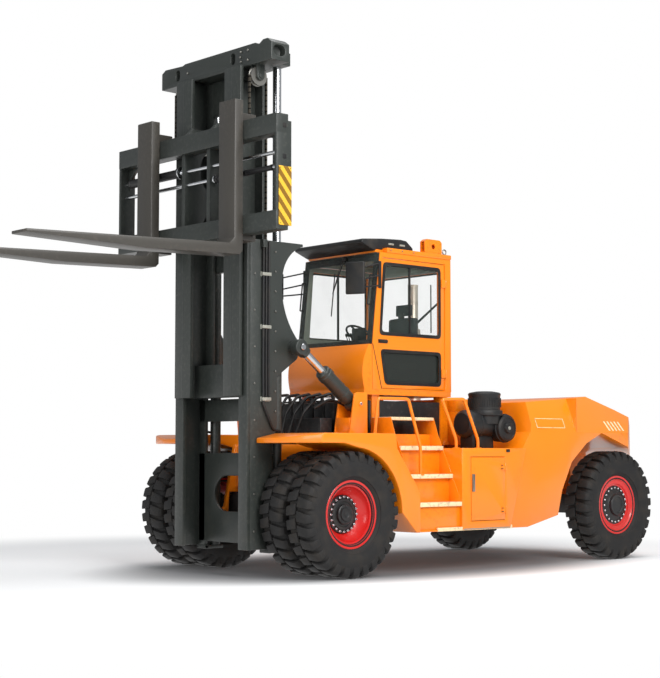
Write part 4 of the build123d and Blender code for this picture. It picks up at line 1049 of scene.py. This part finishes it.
rollers += [rod("stub", (0.68, s * 0.25, z), (0.68, s * 0.305, z), 0.058, 28) for s in (1, -1)
    for z in (4.20, 4.86)]
given(joined("carriage_rollers", rollers), "carriage", BARE_STEEL)
barrels, bright = [], []
for z, s, wide in ((4.50, -1, 0.055), (4.345, 1, 0.034)):
    bright.append(turned("positioner_rod", (0.98, -1.405, z), (0, 1, 0),
        [(0, 0.018), (0, 0.022), (2.81, 0.022), (2.81, 0.018)], 28))
    barrels.append(turned("positioner_barrel", (0.98, s * 0.34, z), (0, s, 0),
        [(0, 0.025), (0, wide + 0.004), (0.004, wide + 0.012), (0.022, wide + 0.012), (0.028, wide - 0.004),
        (0.5, wide - 0.004), (0.505, wide), (0.53, wide), (0.535, wide - 0.004), (0.925, wide - 0.004),
        (0.93, wide), (0.955, wide), (0.96, 0.025)], 36))
    bright.append(turned("flange", (0.98, s * 0.330, z), (0, -s, 0),
        [(0, 0.02), (0, wide + 0.016), (0.010, wide + 0.018), (0.020, wide + 0.016), (0.024, 0.030),
        (0.06, 0.026), (0.06, 0.02)], 32))
given(joined("positioner_barrels", barrels), "carriage", BLACK)
given(joined("positioner_rods", bright), "carriage", CHROME, "positioners")
plates = []
for s in (1, -1):
    board = plate("hazard_plate", "xz", s * (CAR_HALF + 0.0004),
        [(0.86, 3.715), (1.035, 3.715), (1.035, 4.34), (0.86, 4.34)], s * 0.008)
    plates.append(softened(board, 0.002, 1))
given(joined("hazard_boards", plates), "carriage", HAZARD, "hazard_plates")
given(bolts("hazard_rivets", [(x, s * (CAR_HALF + 0.008), z) for s in (1, -1) for x in (0.88, 1.015)
    for z in (3.735, 4.32)], (0, 1, 0), 0.006, 0.003), "carriage", BLACK)
given(assembled("carriage_end_marks", both([((0.93, 0.975), (CAR_HALF + 0.0004, CAR_HALF + 0.004),
    (4.42, 4.47)), ((0.93, 0.975), (CAR_HALF + 0.0004, CAR_HALF + 0.004), (4.75, 4.80))]), 0.001), "carriage",
    SEAL)
print("mast and carriage")

# %% [markdown]
# ## Cab: glass, seals and roof
# The windscreen is one pane laid over the front posts, with a black band round it that hides the glue. The doors
# have an upper pane that slides, so it has an upright bar, and a darker lower one, each in a black rubber frame
# with round corners. A plastic visor caps the front of the roof, and two box lugs for lifting stand behind it.
# Each rubber frame is a plate with round corners from which a smaller one is cut, so its width stays the same.

# %% Cab glass and seals
SCREEN_FOOT, SCREEN_SLOPE, HALF = (-1.046, 2.612), 0.1157, 0.656  # its foot, its lean and half of its width


def rounded(outline, radius, steps=4):
    """The same outline with its corners rounded."""
    points = []
    for n, corner in enumerate(outline):
        here = Vector(corner)
        before = (Vector(outline[n - 1]) - here).normalized() * radius
        after = (Vector(outline[(n + 1) % len(outline)]) - here).normalized() * radius
        for k in range(steps + 1):
            t = k / steps
            points.append(tuple(here + before * (1 - t) ** 2 + after * t ** 2))
    return points


def grown(outline, by):
    """An outline with four corners, moved outward on every side."""
    middle = sum((Vector(c) for c in outline), Vector((0, 0))) / len(outline)
    return [(a + (by if a > middle.x else -by), b + (by if b > middle.y else -by)) for a, b in outline]


def screen_x(z):
    """How far back the sloping windscreen stands at a height."""
    return SCREEN_FOOT[0] - (z - SCREEN_FOOT[1]) * SCREEN_SLOPE


def screen(low_z, high_z, y, front=0.0, thick=0.008):
    """A slab that follows the windscreen's slope between two heights and two values of y."""
    x = [screen_x(z) + front for z in (low_z, high_z)]
    return ("xz", y[0], [(x[0], low_z), (x[0] - thick, low_z), (x[1] - thick, high_z), (x[1], high_z)],
        y[1] - y[0])


given(assembled("cab_screens", [screen(2.612, 3.695, (-HALF, HALF)),
    ((-2.384, -2.375), (-0.589, 0.589), (2.701, 3.559))], 0.0015), "chassis", GLASS, "cab_glass")
band = both([screen(2.613, 3.694, (HALF - 0.085, HALF - 0.001), -0.009, 0.004)])
band += [screen(2.613, 2.665, (-HALF + 0.086, HALF - 0.086), -0.009, 0.004),
         screen(3.600, 3.694, (-HALF + 0.086, HALF - 0.086), -0.009, 0.004),
         ((-2.389, -2.386), (-0.59, 0.59), (2.68, 2.72)), ((-2.389, -2.386), (-0.59, 0.59), (3.54, 3.58))]
given(assembled("screen_bands", band, 0.001), "chassis", SEAL)
UPPER = [(-1.200, 2.740), (-2.200, 2.740), (-2.200, 3.570), (-1.265, 3.570)]
LOWER = [(-1.290, 2.160), (-2.200, 2.160), (-2.200, 2.540), (-1.215, 2.540)]
DARK_GLASS = glazing("dark_glass", srgb(40, 44, 40), 0.12)
for side, s in SIDES:
    door = f"{side}_cab_door"
    panes = [plate("pane", "xz", s * 0.624, outline, s * 0.007) for outline in (UPPER, LOWER)]
    given(softened(panes[0], 0.001, 1), door, GLASS, f"{side}_door_glass").name = f"{side}_upper_pane"
    given(softened(panes[1], 0.001, 1), door, DARK_GLASS).name = f"{side}_lower_pane"
    rubbers = []
    for outline in (UPPER, LOWER):
        frame_piece = plate("rubber", "xz", s * 0.6502, rounded(grown(outline, 0.018), 0.06), s * 0.007)
        hole = plate("hole", "xz", s * 0.60, rounded(grown(outline, -0.022), 0.05), s * 0.10)
        rubbers.append(softened(cut(frame_piece, hole), 0.002, 1))
    rubbers.append(assembled("bar", [((-1.712, -1.690), (s * 0.622, s * 0.644), (2.735, 3.575))], 0.002))
    given(joined(f"{side}_window_rubbers", rubbers), door, SEAL)
    given(assembled(f"{side}_door_handle", [((-1.165, -1.315), (s * 0.650, s * 0.656), (2.628, 2.672)),
        ((-1.175, -1.19), (s * 0.654, s * 0.678), (2.64, 2.66)), ((-1.172, -1.30), (s * 0.668, s * 0.680),
        (2.641, 2.659))], 0.003), door, PLASTIC)
    given(assembled(f"{side}_nose_seam", [("xz", s * 0.6601, [(-1.062, 2.615), (-1.072, 2.615), (-1.215, 2.095),
        (-1.205, 2.095)], s * 0.002)], 0.0005), "chassis", SEAL)

# %% Roof, lugs and visor
roof = [((-2.395, -1.300), (-0.67, 0.67), (3.7003, 3.760)), ((-1.301, -1.17), (-0.60, 0.60), (3.7005, 3.7560))]
LUG = [(-1.960, 3.755), (-1.960, 3.900), (-2.000, 3.930), (-2.220, 3.930), (-2.255, 3.900), (-2.255, 3.755)]
lugs = []
for s in (1, -1):
    lug = plate("lug", "xz", s * 0.56, LUG, s * 0.08)
    cut(lug, block("window", (-1.90, -2.30), (s * 0.577, s * 0.623), (3.785, 3.90)))
    cut(lug, rod("bore", (-2.11, s * 0.5, 3.845), (-2.11, s * 0.7, 3.845), 0.032, 24))
    lugs.append(softened(lug, 0.005))
given(joined("cab_roof_steel", [assembled("roof", roof, 0.012)] + lugs), "chassis", CAB_PAINT, "cab_roof")
visor = plate("roof_visor_cap", "xz", -0.60, [(-0.945, 3.800), (-0.965, 3.845), (-1.28, 3.873), (-1.60, 3.888),
    (-1.69, 3.880), (-1.80, 3.800), (-1.80, 3.762), (-1.30, 3.762), (-1.302, 3.722), (-1.15, 3.722)], 1.20)
given(softened(visor, 0.014, 3), "chassis", PLASTIC, "roof_visor")
given(assembled("visor_slots", both([((x - 0.045, x + 0.045), (0.594, 0.6035), (3.806, 3.828))
    for x in (-1.43, -1.615)]), 0.004), "chassis", PALE_GREY)
given(bolts("roof_bolts", [(x, s * y, z) for s in (1, -1) for x, y, z in (
    (-1.36, 0.671, 3.735), (-1.545, 0.671, 3.735), (-1.74, 0.671, 3.735))], (0, 1, 0), 0.010, 0.006),
      "chassis", BARE_STEEL)
eyes = []
for s in (1, -1):
    alone()
    bpy.ops.mesh.primitive_torus_add(location=(AXLE - 2.32, s * 0.62, 3.795), rotation=(pi / 2, 0, 0),
        major_radius=0.030, minor_radius=0.008, major_segments=28, minor_segments=10)
    eyes.append(settle(bpy.context.object, "eye"))
given(joined("roof_eyes", eyes), "chassis", BARE_STEEL)

# %% [markdown]
# ## Cab: inside and fittings
# Seen through the glass are the driver's seat, the wheel on its column and a console with levers. Outside hang
# wipers, grab rails and mirrors on thin arms. A cushion could be blown up as cloth, but its swell is known, so each
# one is a block cut into small faces whose points are moved: out between the sewn channels, in toward the corners.

# %% Driver's seat
def cushion(name, x, y, z, seams, lean=0.0):
    """A stuffed block: its faces swell between sewn channels and its sides pull in toward the corners."""
    pad = block(name, x, y, z)
    opened(pad)
    bpy.ops.mesh.subdivide(number_cuts=15)
    bpy.ops.object.mode_set(mode="OBJECT")
    middle = Vector((AXLE + sum(x) / 2, sum(y) / 2, sum(z) / 2))
    half = Vector((abs(x[1] - x[0]), abs(y[1] - y[0]), abs(z[1] - z[0]))) / 2
    thin = min(range(3), key=lambda axis: half[axis])
    for vertex in pad.data.vertices:
        share = [(vertex.co[axis] - middle[axis]) / half[axis] for axis in range(3)]
        wide = [axis for axis in range(3) if axis != thin]
        swell = (1 - share[wide[0]] ** 4) * (1 - share[wide[1]] ** 4)
        channel = max([0.0] + [1 - abs(share[1] - seam) * 14 for seam in seams])
        moved = middle.copy()
        for axis in range(3):
            other = [share[k] for k in range(3) if k != axis]
            if axis == thin:
                pull = 0.62 + 0.38 * swell - 0.10 * channel * swell
            else:
                pull = 1 - 0.05 * max(abs(other[0]), abs(other[1])) ** 3
            moved[axis] += share[axis] * half[axis] * pull
        moved.x += lean * (moved.z - middle.z)
        vertex.co = moved
    modified(pad, "SUBSURF", levels=1, render_levels=1)
    bpy.ops.object.shade_smooth()
    return pad


f = Finish("seat_cloth", Roughness=0.85, Specular_IOR_Level=0.25)
threads = {"Vector": f.place, "Scale": 90.0, "Distortion": 0.6}
weave = f.node("TexWave", threads) * 0.5 + f.node("TexWave", threads, bands_direction="Z") * 0.5
f.set(Base_Color=f.mix(f.noise(5.0, 4.0), srgb(30, 31, 33), srgb(52, 53, 55)),
    Normal=f.bump(weave, 0.25, 0.001))
f.set(Roughness=weave * 0.1 + 0.78)
SEAT_CLOTH = f.material
pads = (("seat_cushion", (-1.77, -2.24), (-0.25, 0.25), (2.355, 2.468), (-0.62, 0.62), 0.0),
        ("seat_back", (-2.165, -2.275), (-0.235, 0.235), (2.48, 3.02), (-0.6, 0.6), -0.02),
        ("seat_head", (-2.205, -2.275), (-0.13, 0.13), (3.045, 3.185), (), -0.02))
for name, *shape in pads:
    stands_for = ("driver_seat",) if name == "seat_cushion" else ()
    pad = given(cushion(name, *shape), "chassis", SEAT_CLOTH, *stands_for)
given(assembled("seat_base", [((-1.82, -2.22), (-0.21, 0.21), (2.081, 2.12)),
    ((-1.88, -2.16), (-0.17, 0.17), (2.12, 2.24)), ((-1.80, -2.24), (-0.23, 0.23), (2.24, 2.35)),
    ((-2.18, -2.20), (-0.05, 0.05), (3.0, 3.08)), ((-1.95, -2.24), (-0.34, -0.28), (2.56, 2.60)),
    ((-1.95, -2.24), (0.28, 0.34), (2.56, 2.60)), ((-2.20, -2.23), (-0.33, -0.22), (2.50, 2.58)),
    ((-2.20, -2.23), (0.22, 0.33), (2.50, 2.58))], 0.010), "chassis", PLASTIC)

# %% Wheel, console and controls
column = Vector((-0.22, 0, 0.32)).normalized()
hub = Vector((-1.48, 0, 2.775))
alone()
bpy.ops.mesh.primitive_torus_add(location=hub + Vector((AXLE, 0, 0)),
    rotation=column.to_track_quat("Z", "Y").to_euler(), major_radius=0.178, minor_radius=0.0125,
    major_segments=56, minor_segments=12)
wheel = [settle(bpy.context.object, "wheel"), rod("spoke", hub + Vector((0, -0.17, 0)),
    hub + Vector((0, 0.17, 0)), 0.012, 12), rod("spoke", hub - column.cross(Vector((0, 1, 0))) * 0.17, hub,
    0.012, 12), turned("boss", hub - column * 0.02, column, [(0, 0.02), (0, 0.040), (0.03, 0.044), (0.04, 0.03),
    (0.042, 0.01)], 28), turned("knob", hub + Vector((0, 0.16, 0.02)), column,
    [(0, 0.006), (0.0, 0.014), (0.02, 0.02), (0.04, 0.016), (0.045, 0.005)], 16),
    rod("column", (-1.25, 0, 2.45), hub - column * 0.02, 0.030, 20, 0.022)]
given(joined("steering_wheel", wheel), "chassis", PLASTIC, "steering_column")
given(assembled("dash", [((-1.150, -1.330), (-0.15, 0.15), (2.081, 2.47)),
    ("xz", -0.17, [(-1.12, 2.44), (-1.40, 2.42), (-1.36, 2.56), (-1.12, 2.62)], 0.34),
    ((-1.08, -1.30), (-0.56, -0.40), (2.081, 2.60)), ((-1.70, -2.20), (-0.56, -0.40), (2.081, 2.62)),
    ((-2.34, -2.24), (-0.56, 0.56), (2.081, 2.66))], 0.012), "chassis", PALE_GREY)
levers = []
for y in (-0.52, -0.48, -0.44):
    levers += [rod("lever", (-1.80, y, 2.61), (-1.74, y, 2.80), 0.006, 12),
        turned("knob", (-1.745, y, 2.79), (0.3, 0, 1), [(0, 0.006), (0.004, 0.014), (0.024, 0.017),
        (0.04, 0.012), (0.044, 0.004)], 16)]
levers += [assembled("pedals", [((-1.35, -1.42), (y - 0.04, y + 0.04), (2.14, 2.16))
    for y in (-0.26, 0.22, 0.34)], 0.004), assembled("screen", [((-1.16, -1.19), (0.20, 0.42), (2.64, 2.82)),
    ((-1.13, -1.16), (0.29, 0.33), (2.5, 2.72))], 0.006)]
given(joined("cab_controls", levers), "chassis", PLASTIC)
given(assembled("cab_mat", [((-1.10, -2.34), (-0.585, 0.585), (2.0805, 2.088))], 0.003), "chassis", SEAL)

# %% Wipers, rails, mirrors
def on_screen(y, z, out=0.012):
    """A point that stands out from the windscreen."""
    return (screen_x(z) + out, y, z)


wipers = [rod("blade", on_screen(-0.07, 2.98), on_screen(-0.07, 3.50), 0.007, 8),
    rod("arm", on_screen(-0.07, 3.25, 0.022), on_screen(0.10, 3.67, 0.030), 0.007, 10),
    rod("arm", on_screen(-0.07, 3.25, 0.022), on_screen(0.06, 3.67, 0.030), 0.004, 8),
    turned("box", on_screen(0.09, 3.66, 0.0), (1, 0, 0.1), [(0, 0.01), (0, 0.03), (0.03, 0.03), (0.036, 0.02),
    (0.04, 0.01)], 20), rod("strut", (-2.392, -0.146, 2.840), (-2.400, 0.433, 3.191), 0.010, 10),
    rod("strut", (-2.392, -0.106, 2.840), (-2.400, 0.453, 3.191), 0.006, 8)]
for s in (1, -1):
    wipers.append(hose("grab", bent([on_screen(s * 0.60, 3.08), on_screen(s * 0.60, 3.08, 0.06),
        on_screen(s * 0.60, 3.42, 0.06), on_screen(s * 0.60, 3.42)], 0.02), 0.009, 3))
wipers.append(rod("blade", (-2.396, 0.314, 2.826), (-2.396, 0.314, 3.424), 0.008, 8))
given(joined("wipers_and_rails", wipers), "chassis", PLASTIC)
shells, glasses = [], []
for s in (1, -1):
    shell = plate("mirror", "xy", 3.170, [(-0.70, s * 0.586), (-0.80, s * 0.80), (-0.84, s * 0.78),
        (-0.74, s * 0.566)], 0.375)
    shells.append(softened(shell, 0.018, 4))
    pane = plate("glass", "xy", 3.20, [(-0.842, s * 0.762), (-0.8435, s * 0.761), (-0.7585, s * 0.581),
        (-0.757, s * 0.582)], 0.31)
    glasses.append(softened(pane, 0.0005, 1))
    for z, back in ((3.25, 3.30), (3.33, 3.42), (3.47, 3.56)):
        shells.append(rod("arm", (-1.17, s * 0.668, back), (-0.80, s * 0.70, z), 0.009, 14))
    shells.append(assembled("plate", [((-1.199, -1.155), (s * 0.6604, s * 0.676), (3.27, 3.59))], 0.004))
given(joined("mirror_shells", shells), "chassis", PLASTIC, "mirrors")
given(joined("mirror_glasses", glasses), "chassis", MIRROR)
print("cab, seat and controls")

# %% [markdown]
# ## Tilt cylinders
# Each cylinder lies between a box bracket on the fender and the ear of the mast. The barrel has a welded eye, a
# band and a screwed gland; the chrome rod ends in a forged head round the mast's pin. All of it is turned about
# the line between the two pins, so it lines up by itself, and the head stays clear of the barrel when it is in.

# %% Tilt cylinders and brackets
BODY_PIN = (-0.65, 1.90)
reach = Vector((TILT_PIN[0] - BODY_PIN[0], 0, TILT_PIN[1] - BODY_PIN[1]))
length, way = reach.length, reach.normalized()
lean = degrees(atan2(reach.z, reach.x))
STROKE_IN, BARREL_END = 0.288, 0.594  # how far the rod is drawn in at the most, and where the barrel ends
NECK = min(0.13, length - STROKE_IN - BARREL_END - 0.002)  # from the mast's pin to the foot of the head
for side, s in SIDES:
    y = s * TILT_Y
    foot = Vector((BODY_PIN[0], y, BODY_PIN[1]))
    barrel = [turned("barrel", foot + way * 0.075, way, [(0, 0.03), (0, 0.060), (0.015, 0.080), (0.03, 0.085),
        (0.10, 0.085), (0.10, 0.090), (0.13, 0.090), (0.13, 0.085), (0.40, 0.085), (0.405, 0.094),
        (0.46, 0.094), (0.465, 0.088), (0.50, 0.088), (0.512, 0.078), (0.515, 0.0495)], 48),
        rod("eye", (BODY_PIN[0], y - 0.06, BODY_PIN[1]), (BODY_PIN[0], y + 0.06, BODY_PIN[1]), 0.078, 40)]
    port = foot + way * 0.19 + Vector((0, 0, 0.085))
    barrel.append(rod("port", port - Vector((0, 0, 0.01)), port + Vector((0, 0, 0.03)), 0.020, 6))
    given(softened(joined(f"{side}_tilt_barrel_steel", barrel), 0.003), f"{side}_tilt_barrel", DARK_GREY,
        f"{side}_tilt_barrel")
    bright = turned(f"{side}_tilt_rod_chrome", foot + way * 0.40, way,
        [(0, 0.03), (0, 0.0475), (length - 0.49, 0.0475), (length - 0.485, 0.03)], 48)
    given(bright, f"{side}_tilt_rod", CHROME, f"{side}_tilt_rod")
    head = arc(TILT_PIN, 0.088, lean - 130, lean + 130, 24)
    for spread in (0.052, -0.052):
        point = Vector((TILT_PIN[0], 0, TILT_PIN[1])) - way * NECK + Vector((-way.z, 0, way.x)) * spread
        head.append((point.x, point.z))
    forged = softened(plate("head", "xz", y - 0.052, head, 0.104), 0.010, 3)
    room = length - STROKE_IN - BARREL_END  # what is left beyond the barrel at the shortest reach
    collar = turned("collar", foot + way * (length - room), way,
        [(0, 0.049), (0, 0.054), (room - 0.085, 0.058), (room - 0.08, 0.03)], 32)
    caps = rod("pin", (TILT_PIN[0], y - 0.054, TILT_PIN[1]), (TILT_PIN[0], y + s * 0.070, TILT_PIN[1]), 0.034,
        32)
    given(joined(f"{side}_tilt_head", [forged, collar, softened(caps, 0.004)]), f"{side}_tilt_rod", DARK_GREY)
cheek = [(-0.48, 1.552), (-0.56, 2.01), (-0.60, 2.03), (-0.74, 2.03), (-0.76, 2.01), (-0.76, 1.552)]
brackets = both([("xz", TILT_Y - 0.135, cheek, 0.024), ("xz", TILT_Y + 0.111, cheek, 0.024),
    ((-0.738, -0.7598), (TILT_Y - 0.112, TILT_Y + 0.112), (1.553, 2.009)),
    ((-0.50, -0.739), (TILT_Y - 0.112, TILT_Y + 0.112), (1.553, 1.74)),
    ((BODY_PIN[0], TILT_Y - 0.145, BODY_PIN[1]), (BODY_PIN[0], TILT_Y + 0.145, BODY_PIN[1]), 0.030)])
given(assembled("tilt_bracket_steel", brackets, 0.005), "chassis", ORANGE, "tilt_brackets")
given(bolts("tilt_pin_bolts", [(BODY_PIN[0], s * (TILT_Y + 0.145), BODY_PIN[1]) for s in (1, -1)], (0, 1, 0),
    0.02, 0.008), "chassis", CHROME)

# %% [markdown]
# ## Under the cab
# The cab stands on rubber mounts over the oil tank, and the valves that send oil to the mast stand in front of it,
# a row of blocks with a hose from each. All of it is black and lies in the cab's shadow, so plain blocks with
# rounded edges are enough, and the hoses, which catch the light, are smooth curves.

# %% Tank, valves and hoses
deck = [((-1.06, -2.33), (-0.60, 0.60), (1.492, 1.955)), ((-0.30, -0.995), (-0.61, 0.61), (1.441, 1.470)),
        ((-0.32, -0.50), (-0.58, 0.58), (1.469, 1.74))]
for n in range(6):
    deck.append(((-0.56, -0.94), (-0.56 + 0.19 * n, -0.40 + 0.19 * n), (1.469, 1.93 - 0.012 * (n % 2))))
    deck.append(((-0.60 - 0.03 * (n % 3), -0.56), (-0.53 + 0.19 * n, -0.43 + 0.19 * n), (1.93, 1.95)))
given(assembled("tank_and_valves", deck, 0.008), "chassis", BLACK)
lines = []
for n in range(6):
    y = -0.48 + 0.19 * n
    lines.append(hose("hose", bent([(-0.62, y, 1.93), (-0.60, y, 2.03), (-0.40, y * 0.9, 2.02 - 0.01 * n),
        (-0.24, y * 0.8, 1.80), (-0.16, y * 0.6, 1.46)], 0.08), 0.017, 3))
    lines.append(turned("ferrule", (-0.62, y, 1.925), (0, 0, 1),
        [(0, 0.015), (0, 0.026), (0.03, 0.026), (0.034, 0.02), (0.06, 0.02), (0.06, 0.01)], 6))
lines.append(hose("hose", bent([(-0.95, 0.50, 1.70), (-0.90, 0.68, 1.72), (-0.60, 0.66, 1.90),
    (-0.42, 0.62, 1.95), (-0.30, 0.50, 1.85)], 0.08), 0.017, 3))
given(joined("valve_hoses", lines), "chassis", HOSE)
print("tilt gear, tank and valves")

# %% [markdown]
# ## Counterweight
# The counterweight is one iron casting that closes the truck's tail: thick, with broad chamfers along its
# shoulders, an arch for each rear wheel and a jaw for towing. It is cut from one extruded outline. Plain pale
# stripes and a plain outlined panel mark its shoulders.

# %% Counterweight
TAIL, SIDE = -5.30, 1.45
SHOULDERS = ((-5.4, -3.8, 0.72), (-3.8, -2.3, 0.38))  # from x, to x, and how far in for each metre of height


def lean_in(x):
    """How far the chamfer leans in at a distance along the truck, for each metre of height."""
    return next(lean for start, end, lean in SHOULDERS if x < end)


casting = plate("counterweight_casting", "xz", -SIDE, [(-2.53, 0.46), (-2.83, 1.40), (-2.98, 1.60),
    (-3.00, 1.96), (-4.40, 2.065), (-4.84, 1.90), (TAIL, 1.70), (TAIL, 1.30), (-4.84, 1.42), (-4.303, 1.594),
    (-4.001, 1.467), (-3.703, 1.232), (-3.524, 0.892), (-3.443, 0.59), (-2.902, 0.46)], 2 * SIDE)
for s in (1, -1):
    for outline in ([(-2.48, s * 1.39), (-3.70, s * 1.451), (-3.70, s * 1.7), (-2.48, s * 1.7)],
                    [(-4.84, s * 1.451), (TAIL - 0.01, s * 1.12), (TAIL - 0.01, s * 1.7), (-4.84, s * 1.7)]):
        cut(casting, plate("taper", "xy", 0.3, outline, 2.1))
    for start, end, slope in SHOULDERS:
        cut(casting, plate("chamfer", "yz", start, [(s * 1.4501, 1.6), (s * (SIDE - 0.5 * slope), 2.1),
            (s * 1.7, 2.1), (s * 1.7, 1.6)], end - start))
cut(casting, block("pocket", (-2.40, -3.54), (-0.698, 0.698), (0.45, 1.90)))
cut(casting, block("well", (-3.53, -4.96), (-0.56, 0.56), (0.60, 1.445)))
tail = plate("tail", "xz", -0.40, [(-4.96, 0.56), (TAIL, 0.56), (TAIL, 1.40), (-4.96, 1.50)], 0.80)
cut(tail, block("jaw", (TAIL - 0.01, TAIL + 0.12), (-0.07, 0.07), (0.60, 0.72)))
cut(tail, rod("pin_bore", (TAIL + 0.06, 0, 0.55), (TAIL + 0.06, 0, 0.80), 0.022, 24))
given(joined("counterweight_casting", [softened(casting, 0.012), softened(tail, 0.012)]), "chassis", ORANGE,
    "counterweight")
given(joined("tow_pin", [rod("pin", (TAIL + 0.06, 0, 0.562), (TAIL + 0.06, 0, 0.80), 0.020, 24),
                         rod("handle", (TAIL + 0.06, -0.05, 0.79), (TAIL + 0.06, 0.05, 0.79), 0.010, 16)]),
      "chassis", BARE_STEEL)
bars = [[(a, b), (c, b), (c, d), (a, d)] for a, b, c, d in (
    (-3.08, 1.764, -3.607, 1.758), (-3.08, 1.655, -3.607, 1.649),
    (-3.08, 1.758, -3.088, 1.655), (-3.599, 1.758, -3.607, 1.655))]
bars += [[(x, 1.745), (x - 0.028, 1.745), (x - 0.046, 1.626), (x - 0.018, 1.626)]
    for x in (-4.46, -4.53, -4.60, -4.67, -4.74)]
marks = []
for s in (1, -1):
    for outline in bars:
        mark = plate("mark", "xz", 0.0, outline, 0.002)
        for vertex in mark.data.vertices:
            height, out = vertex.co.z - 1.6, vertex.co.y
            vertex.co.y = s * (SIDE - height * lean_in(vertex.co.x - AXLE) - 0.0012 + out)
        opened(mark)
        outward()
        marks.append(mark)
given(joined("shoulder_marks", marks), "chassis", CREAM)
given(assembled("sill_plates", both([((-1.30, -2.56), (1.400, 1.4745), (0.4605, 0.4785)),
    ((-1.30, -2.56), (1.4505, 1.4745), (0.478, 0.502))]), 0.002), "chassis", CREAM)
print("counterweight and its marks")

# %% [markdown]
# ## Chains
# Two leaf chains pass over the header's sheaves: the front runs pull the carriage, the rear ones are fixed to the
# outer mast. As the mast comes down, one run grows shorter and the other longer. Each strand is made of thin
# leaves with rows of points along them. The link pattern is worked out from the height.

# %% Chains
f = Finish("leaf_chain", Metallic=0.8, Roughness=0.4)
pitch = (f.axis("Z") % 0.06) * 16.7
pins = f.between((pitch - 0.5).size(), 0.30, 0.42)
f.set(Base_Color=f.mix(pins, srgb(92, 86, 76), srgb(22, 21, 20)),
    Roughness=(f.noise(40.0, 4.0) * 0.2 + 0.32).held())
f.set(Normal=f.bump(1 - pins, 0.5, 0.004))
LEAF_CHAIN = f.material


def strands(name, x, z, stands_for):
    """The two strands of a run, with rows of points along them."""
    runs = []
    for s in (1, -1):
        for y in (0.661, 0.672, 0.683):
            leaf = block("leaf", x, (s * y, s * (y + 0.006)), z)
            opened(leaf)
            bpy.ops.mesh.select_all(action="DESELECT")
            bpy.ops.object.mode_set(mode="OBJECT")
            for edge in leaf.data.edges:
                ends = [leaf.data.vertices[v].co for v in edge.vertices]
                edge.select = abs(ends[0].z - ends[1].z) > 0.1
            bpy.ops.object.mode_set(mode="EDIT")
            bpy.ops.mesh.subdivide(number_cuts=24)
            outward()
            runs.append(leaf)
    piece = painted_with(joined(name, runs), LEAF_CHAIN, stands_for)
    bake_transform(piece)


strands("rear_chain_runs", (0.5575, 0.5745), (3.6805, 5.48), "mast_chains")
strands("front_chain_runs", (0.7955, 0.8125), (4.8305, 5.48), "carriage_chains")
print("chains")
